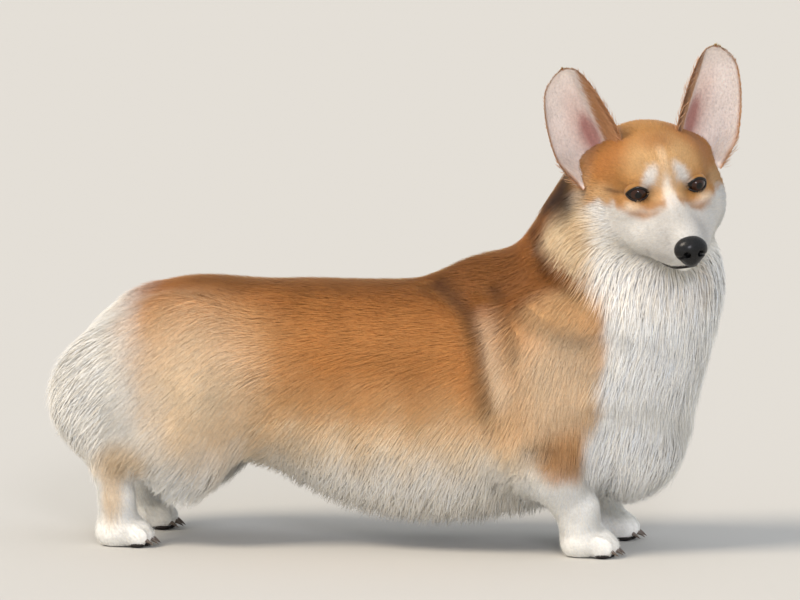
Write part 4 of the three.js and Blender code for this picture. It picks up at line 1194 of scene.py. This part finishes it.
for word, side in (("left", 1), ("right", -1)):
    axes = eye_ways(side)
    look = axes[0]
    centre = np.array(EYE_AT) * [1, side, 1]
    # The ball: rings round the way it looks, with the cornea's bulge in front of the iris
    tilt = (np.linspace(0.02, 1, 60) ** 1.2 * np.pi * 0.97)[:, None]
    turn = np.linspace(0, 2 * np.pi, 72, endpoint=False)[None]
    radius = BALL_RADIUS + CORNEA_BULGE * np.exp(-((tilt / 0.5) ** 4))
    rings = centre + leaning(tilt, turn, *axes) * radius[..., None]
    front, rear = centre + look * (BALL_RADIUS + CORNEA_BULGE), centre - look * BALL_RADIUS
    points, faces = closed_rings(rings, front, rear)
    away = np.append(np.broadcast_to(tilt, rings.shape[:2]).ravel(), [0, np.pi])
    round_it = np.append(np.broadcast_to(turn, rings.shape[:2]).ravel(), [0, 0])
    fibre = 0.5 + 0.5 * np.sin(round_it * 23 + 2 * np.sin(round_it * 7)) * np.sin(away * 40)
    iris = smooth(away, 0.24, 0.30)
    # Out from the pupil: iris, its fibres, the dark rim of the iris, and the white of the eye painted dark as
    # painted shade
    colours = laid_over(PUPIL, [(IRIS, iris), (IRIS_FIBRE, 0.45 * iris * fibre),
                                (IRIS_RIM, smooth(away, 0.60, 0.72)), (SHADED_EYE_WHITE, smooth(away, 0.95, 1.1))])
    points = from_head(points)
    made = piece("eyeball_" + word, points, outwards(points, faces), eye_ball, "eye", colours)
    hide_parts("eye_" + word)

    # The lids: a ring round the almond gap, whose section goes over the margin, out under the hair and back
    # behind
    turn = np.linspace(0, 2 * np.pi, 96, endpoint=False)[:, None]
    high = np.where(np.sin(turn) > 0, 6.6, 5.3)
    gap = 1 / ((np.abs(np.cos(turn)) / 10.6) ** 1.55 + (np.abs(np.sin(turn)) / high) ** 1.55) ** (1 / 1.55)
    edge = np.arcsin(np.clip(gap / 12.3, 0, 0.93))
    section = np.radians([-2, 0, 3.5, 9, 16, 26, 38, 52, 52, 34, 16, 4])
    depth = np.array([12.1, 12.6, 12.95, 13.15, 13.2, 13.1, 12.7, 11.6, 9.6, 10.9, 11.9, 12.0])
    rings = from_head(centre + leaning(edge + section, turn, *axes) * depth[:, None])
    points = rings.reshape(-1, 3)
    faces = outwards(points, [strip_faces(*rings.shape[:2], closed_rows=True)])
    # Where each point, and the face that starts at it, is on the section
    step = np.arange(len(points)) % len(section)
    rim = np.maximum(fade(section, np.radians(5), np.radians(12))[step], step > 7)
    # The hair on the lids is the markings darkened to 0.7, painted shade round the eye, with the black rim over it
    colours = laid_over(markings(points) * 0.7, [(LID_SKIN, rim)])
    piece("lids_" + word, points, faces, [rim_leather, short_hair], "eye", colours,
          choice=(step > 2) & (step < 8))

# ---------------------------------------------------------------- Nose

nose = blend([(ellipsoid((NOSE_X - 1, 0, -39), (12.5, 17, 13.5)), 0),
              (ellipsoid((NOSE_X - 3, 0, -48.5), (10, 9, 9)), 5)])
NOSTRIL = (NOSE_X + 9.5, 7, -41)
NOSE_STEP = 0.75


def nose_form(x, y, z):
    """The nose leather with two comma-shaped nostrils, the slit that runs out from each, and the groove
    between."""
    side = np.abs(y)
    forward, outward = x - NOSTRIL[0], side - NOSTRIL[1]
    c, s = 0.83, 0.56  # the nostril's length is turned outward by 34 degrees
    hole = ellipsoid((0, 0, 0), (6.4, 3.3, 3.3))(c * forward + s * outward, c * outward - s * forward,
                                                 z - NOSTRIL[2])
    slit = limb((NOSE_X + 8, 9, -42.5), (NOSE_X - 1, 16.5, -46), 1.5, 0.8)(x, side, z)
    groove = limb((NOSE_X + 13.5, 0, -38), (NOSE_X + 7, 0, -59), 0.9, 1.1)(x, y, z)
    form = nose(x, y, z)
    for cut in (hole, slit, groove):
        form = -soft_min(-form, cut, 1.2)
    return form


points, faces = surface_net(Sampled(nose_form, steps([(NOSE_X - 16, NOSE_X + 16, NOSE_STEP)]),
                                    steps([(-20, 20.5, NOSE_STEP)]), steps([(-63, -21, NOSE_STEP)])))
points = from_head(points)
made = piece("nose_leather", points, outwards(points, [faces]), nose_leather, "nose_leather")
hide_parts("nose")

# ---------------------------------------------------------------- Lips

def mouth_line(count):
    """The closed mouth on the muzzle: from a point inside it, rays fan round from one corner to the other,
    and each rides along the height of the lips until it comes out through the skin."""
    middle_x, depth, halvings = 26, 2.6, 24
    turn = np.radians(np.linspace(-104, 104, count))
    inside, outside = np.zeros(count), np.full(count, 72.0)
    for _ in range(halvings):
        reach = (inside + outside) / 2
        x, y = middle_x + reach * np.cos(turn), reach * np.sin(turn)
        within = skull(x, y, lip_height(x)) < -depth
        inside, outside = np.where(within, reach, inside), np.where(within, outside, reach)
    x, y = middle_x + inside * np.cos(turn), inside * np.sin(turn)
    return np.column_stack([x, y, lip_height(x)])


count = 120
line = mouth_line(count)
line = np.stack([np.convolve(np.pad(line[:, k], 3, mode="edge"), np.ones(7) / 7, "valid")
                 for k in range(3)], 1)  # each point at the mean of the seven round it
along = unit(np.gradient(line, axis=0))
outward = unit(np.cross(along, [0, 0, 1.0]))
outward *= np.sign(dot(outward, line - [20, 0, -56]))
upward = np.cross(along, outward)
turn = np.linspace(0, 2 * np.pi, 10, endpoint=False)[None, :, None]
from_end = np.minimum(np.arange(count), np.arange(count)[::-1])[:, None, None]
taper = 0.15 + 0.85 * np.minimum(1, from_end / 10)
rings = line[:, None] + (2.0 * np.cos(turn) * outward[:, None] + 1.7 * np.sin(turn) * upward[:, None]) * taper
points, faces = closed_rings(rings, line[0], line[-1])
points = from_head(points)
piece("lips", points, outwards(points, faces), rim_leather, "nose_leather")

# ---------------------------------------------------------------- Claws and pads

t, turn = np.linspace(0, 1, 9)[:, None], np.linspace(0, 2 * np.pi, 12, endpoint=False)[None]
bow = np.linspace(0.06, 0.94, 8)[:, None] * np.pi
PAD_HEIGHT = 2.3  # of half a pad


def claw(at):
    """A horn 11 mm long that thins to its tip as (1 - t) to the 0.7 and drops as t to the 1.8."""
    thick = 2.5 * (1 - t) ** 0.7 + 0.15
    ring = ways(at[0] + 10.5 * t, at[1] + thick * 0.8 * np.cos(turn),
                at[2] - 5.6 * t**1.8 + thick * 1.15 * np.sin(turn))
    return closed_rings(ring, at - [1, 0, 0], at + [11, 0, -5.9])


def pad(at, long, wide):
    """A flattened ball, whose half length and half width may change round it."""
    ring = at + ways(long * np.sin(bow) * np.cos(turn), wide * np.sin(bow) * np.sin(turn),
                     -PAD_HEIGHT * np.cos(bow))
    return closed_rings(ring, at - [0, 0, PAD_HEIGHT], at + [0, 0, PAD_HEIGHT])


claws, pads = [], []
lobes = 1 - 0.22 * np.cos(3 * turn)
for x in (FORE_X + 3, HOCK_X + 8):
    for y in (LEG_Y, -LEG_Y):
        for k in TOES:
            toe = np.array([x - 3.5 * abs(k), y + TOE_GAP * k, 0])
            claws.append(claw(toe + [31, 0, 8.5]))
            pads.append(pad(toe + [25, 0, 2.6], 7.5, 4.6))
        pads.append(pad(np.array([x + 1, y, 2.6]), 12 * lobes, 13 * lobes))


def joined(shapes):
    """Closed shapes as one array of points and one list of faces, each shape turned the right way out
    first."""
    points, quads, triangles, start = [], [], [], 0
    for shape, faces in shapes:
        faces = outwards(shape, faces)
        points.append(shape)
        quads.append(faces[0] + start)
        triangles.append(faces[1] + start)
        start += len(shape)
    return np.vstack(points), [np.vstack(quads), np.vstack(triangles)]


piece("claws", *joined(claws), claw_horn, "claw")
piece("foot_pads", *joined(pads), pad_leather, "nose_leather")

leg_parts = [part + word for part in ("foreleg_", "forepaw_", "thigh_", "hock_", "hindpaw_")
             for word in ("left", "right")]
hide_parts("torso", "neck", "head", "jaw", "tail", *leg_parts)

# ---------------------------------------------------------------- Studio

def stage_piece(name, points, faces, colour, roughness):
    """A plain matt surface that isn't part of the dog."""
    mesh = bpy.data.meshes.new(name)
    mesh.from_pydata(points, [], faces)
    made, _, shader = material(name + "_matt_paint", {"Roughness": roughness})
    shader.inputs["Base Color"].default_value = (*linear(colour), 1)
    mesh.materials.append(made)
    thing = bpy.data.objects.new(name, mesh)
    bpy.context.scene.collection.objects.link(thing)
    thing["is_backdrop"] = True


FLOOR = 60.0  # half its width, in m
stage_piece("floor", [(-FLOOR, -FLOOR, 0), (FLOOR, -FLOOR, 0), (FLOOR, FLOOR, 0), (-FLOOR, FLOOR, 0)],
            [(0, 1, 2, 3)], "#c2c0bb", 0.9)

world = bpy.data.worlds.new("studio")
world.use_nodes = True
background = world.node_tree.nodes["Background"]
background.inputs["Color"].default_value = (*linear("#dfe3e8"), 1)
background.inputs["Strength"].default_value = 0.95
bpy.context.scene.world = world
bpy.context.scene.view_settings.view_transform = "Standard"

MIDDLE = Vector((ORIGIN + [0, 0, 245]) / 1000)  # what the camera looks at, in m


def facing_dog(name, data, azimuth, elevation, distance):
    """A lamp or camera that looks at the middle of the dog. It stands off by the distance in m, at an
    azimuth counted from square to the dog's right side, towards its tail, and an elevation, both in
    degrees."""
    a, e = math.radians(azimuth), math.radians(elevation)
    back = Vector((math.sin(a) * math.cos(e), -math.cos(a) * math.cos(e), math.sin(e)))
    thing = bpy.data.objects.new(name, data)
    thing.location = MIDDLE + back * distance
    thing.rotation_euler = back.to_track_quat("Z", "Y").to_euler()
    bpy.context.scene.collection.objects.link(thing)
    return thing


# A warm key light and a cooler fill from near the camera, which gives the eyes their glint. Each row: name,
# azimuth, elevation, the spread in degrees that softens its shadows, power and colour
for name, azimuth, elevation, spread, power, colour in (("key", -50, 48, 26, 2.6, "#fff1de"),
                                                        ("fill", 16, 22, 12, 0.9, "#f6f5ff")):
    sun = bpy.data.lights.new(name, "SUN")
    sun.angle, sun.energy, sun.color = math.radians(spread), power, linear(colour)
    facing_dog(name, sun, azimuth, elevation, 3)

# A long lens far off. It sees 1 mm of the dog to a pixel of a picture 800 wide
AZIMUTH, ELEVATION, DISTANCE, SEEN_WIDTH = 10, 7, 16.0, 0.8
lens = bpy.data.cameras.new("camera")
lens.sensor_width = 36.0
lens.lens = lens.sensor_width * DISTANCE / SEEN_WIDTH
bpy.context.scene.camera = facing_dog("camera", lens, AZIMUTH, ELEVATION, DISTANCE)

low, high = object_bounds()
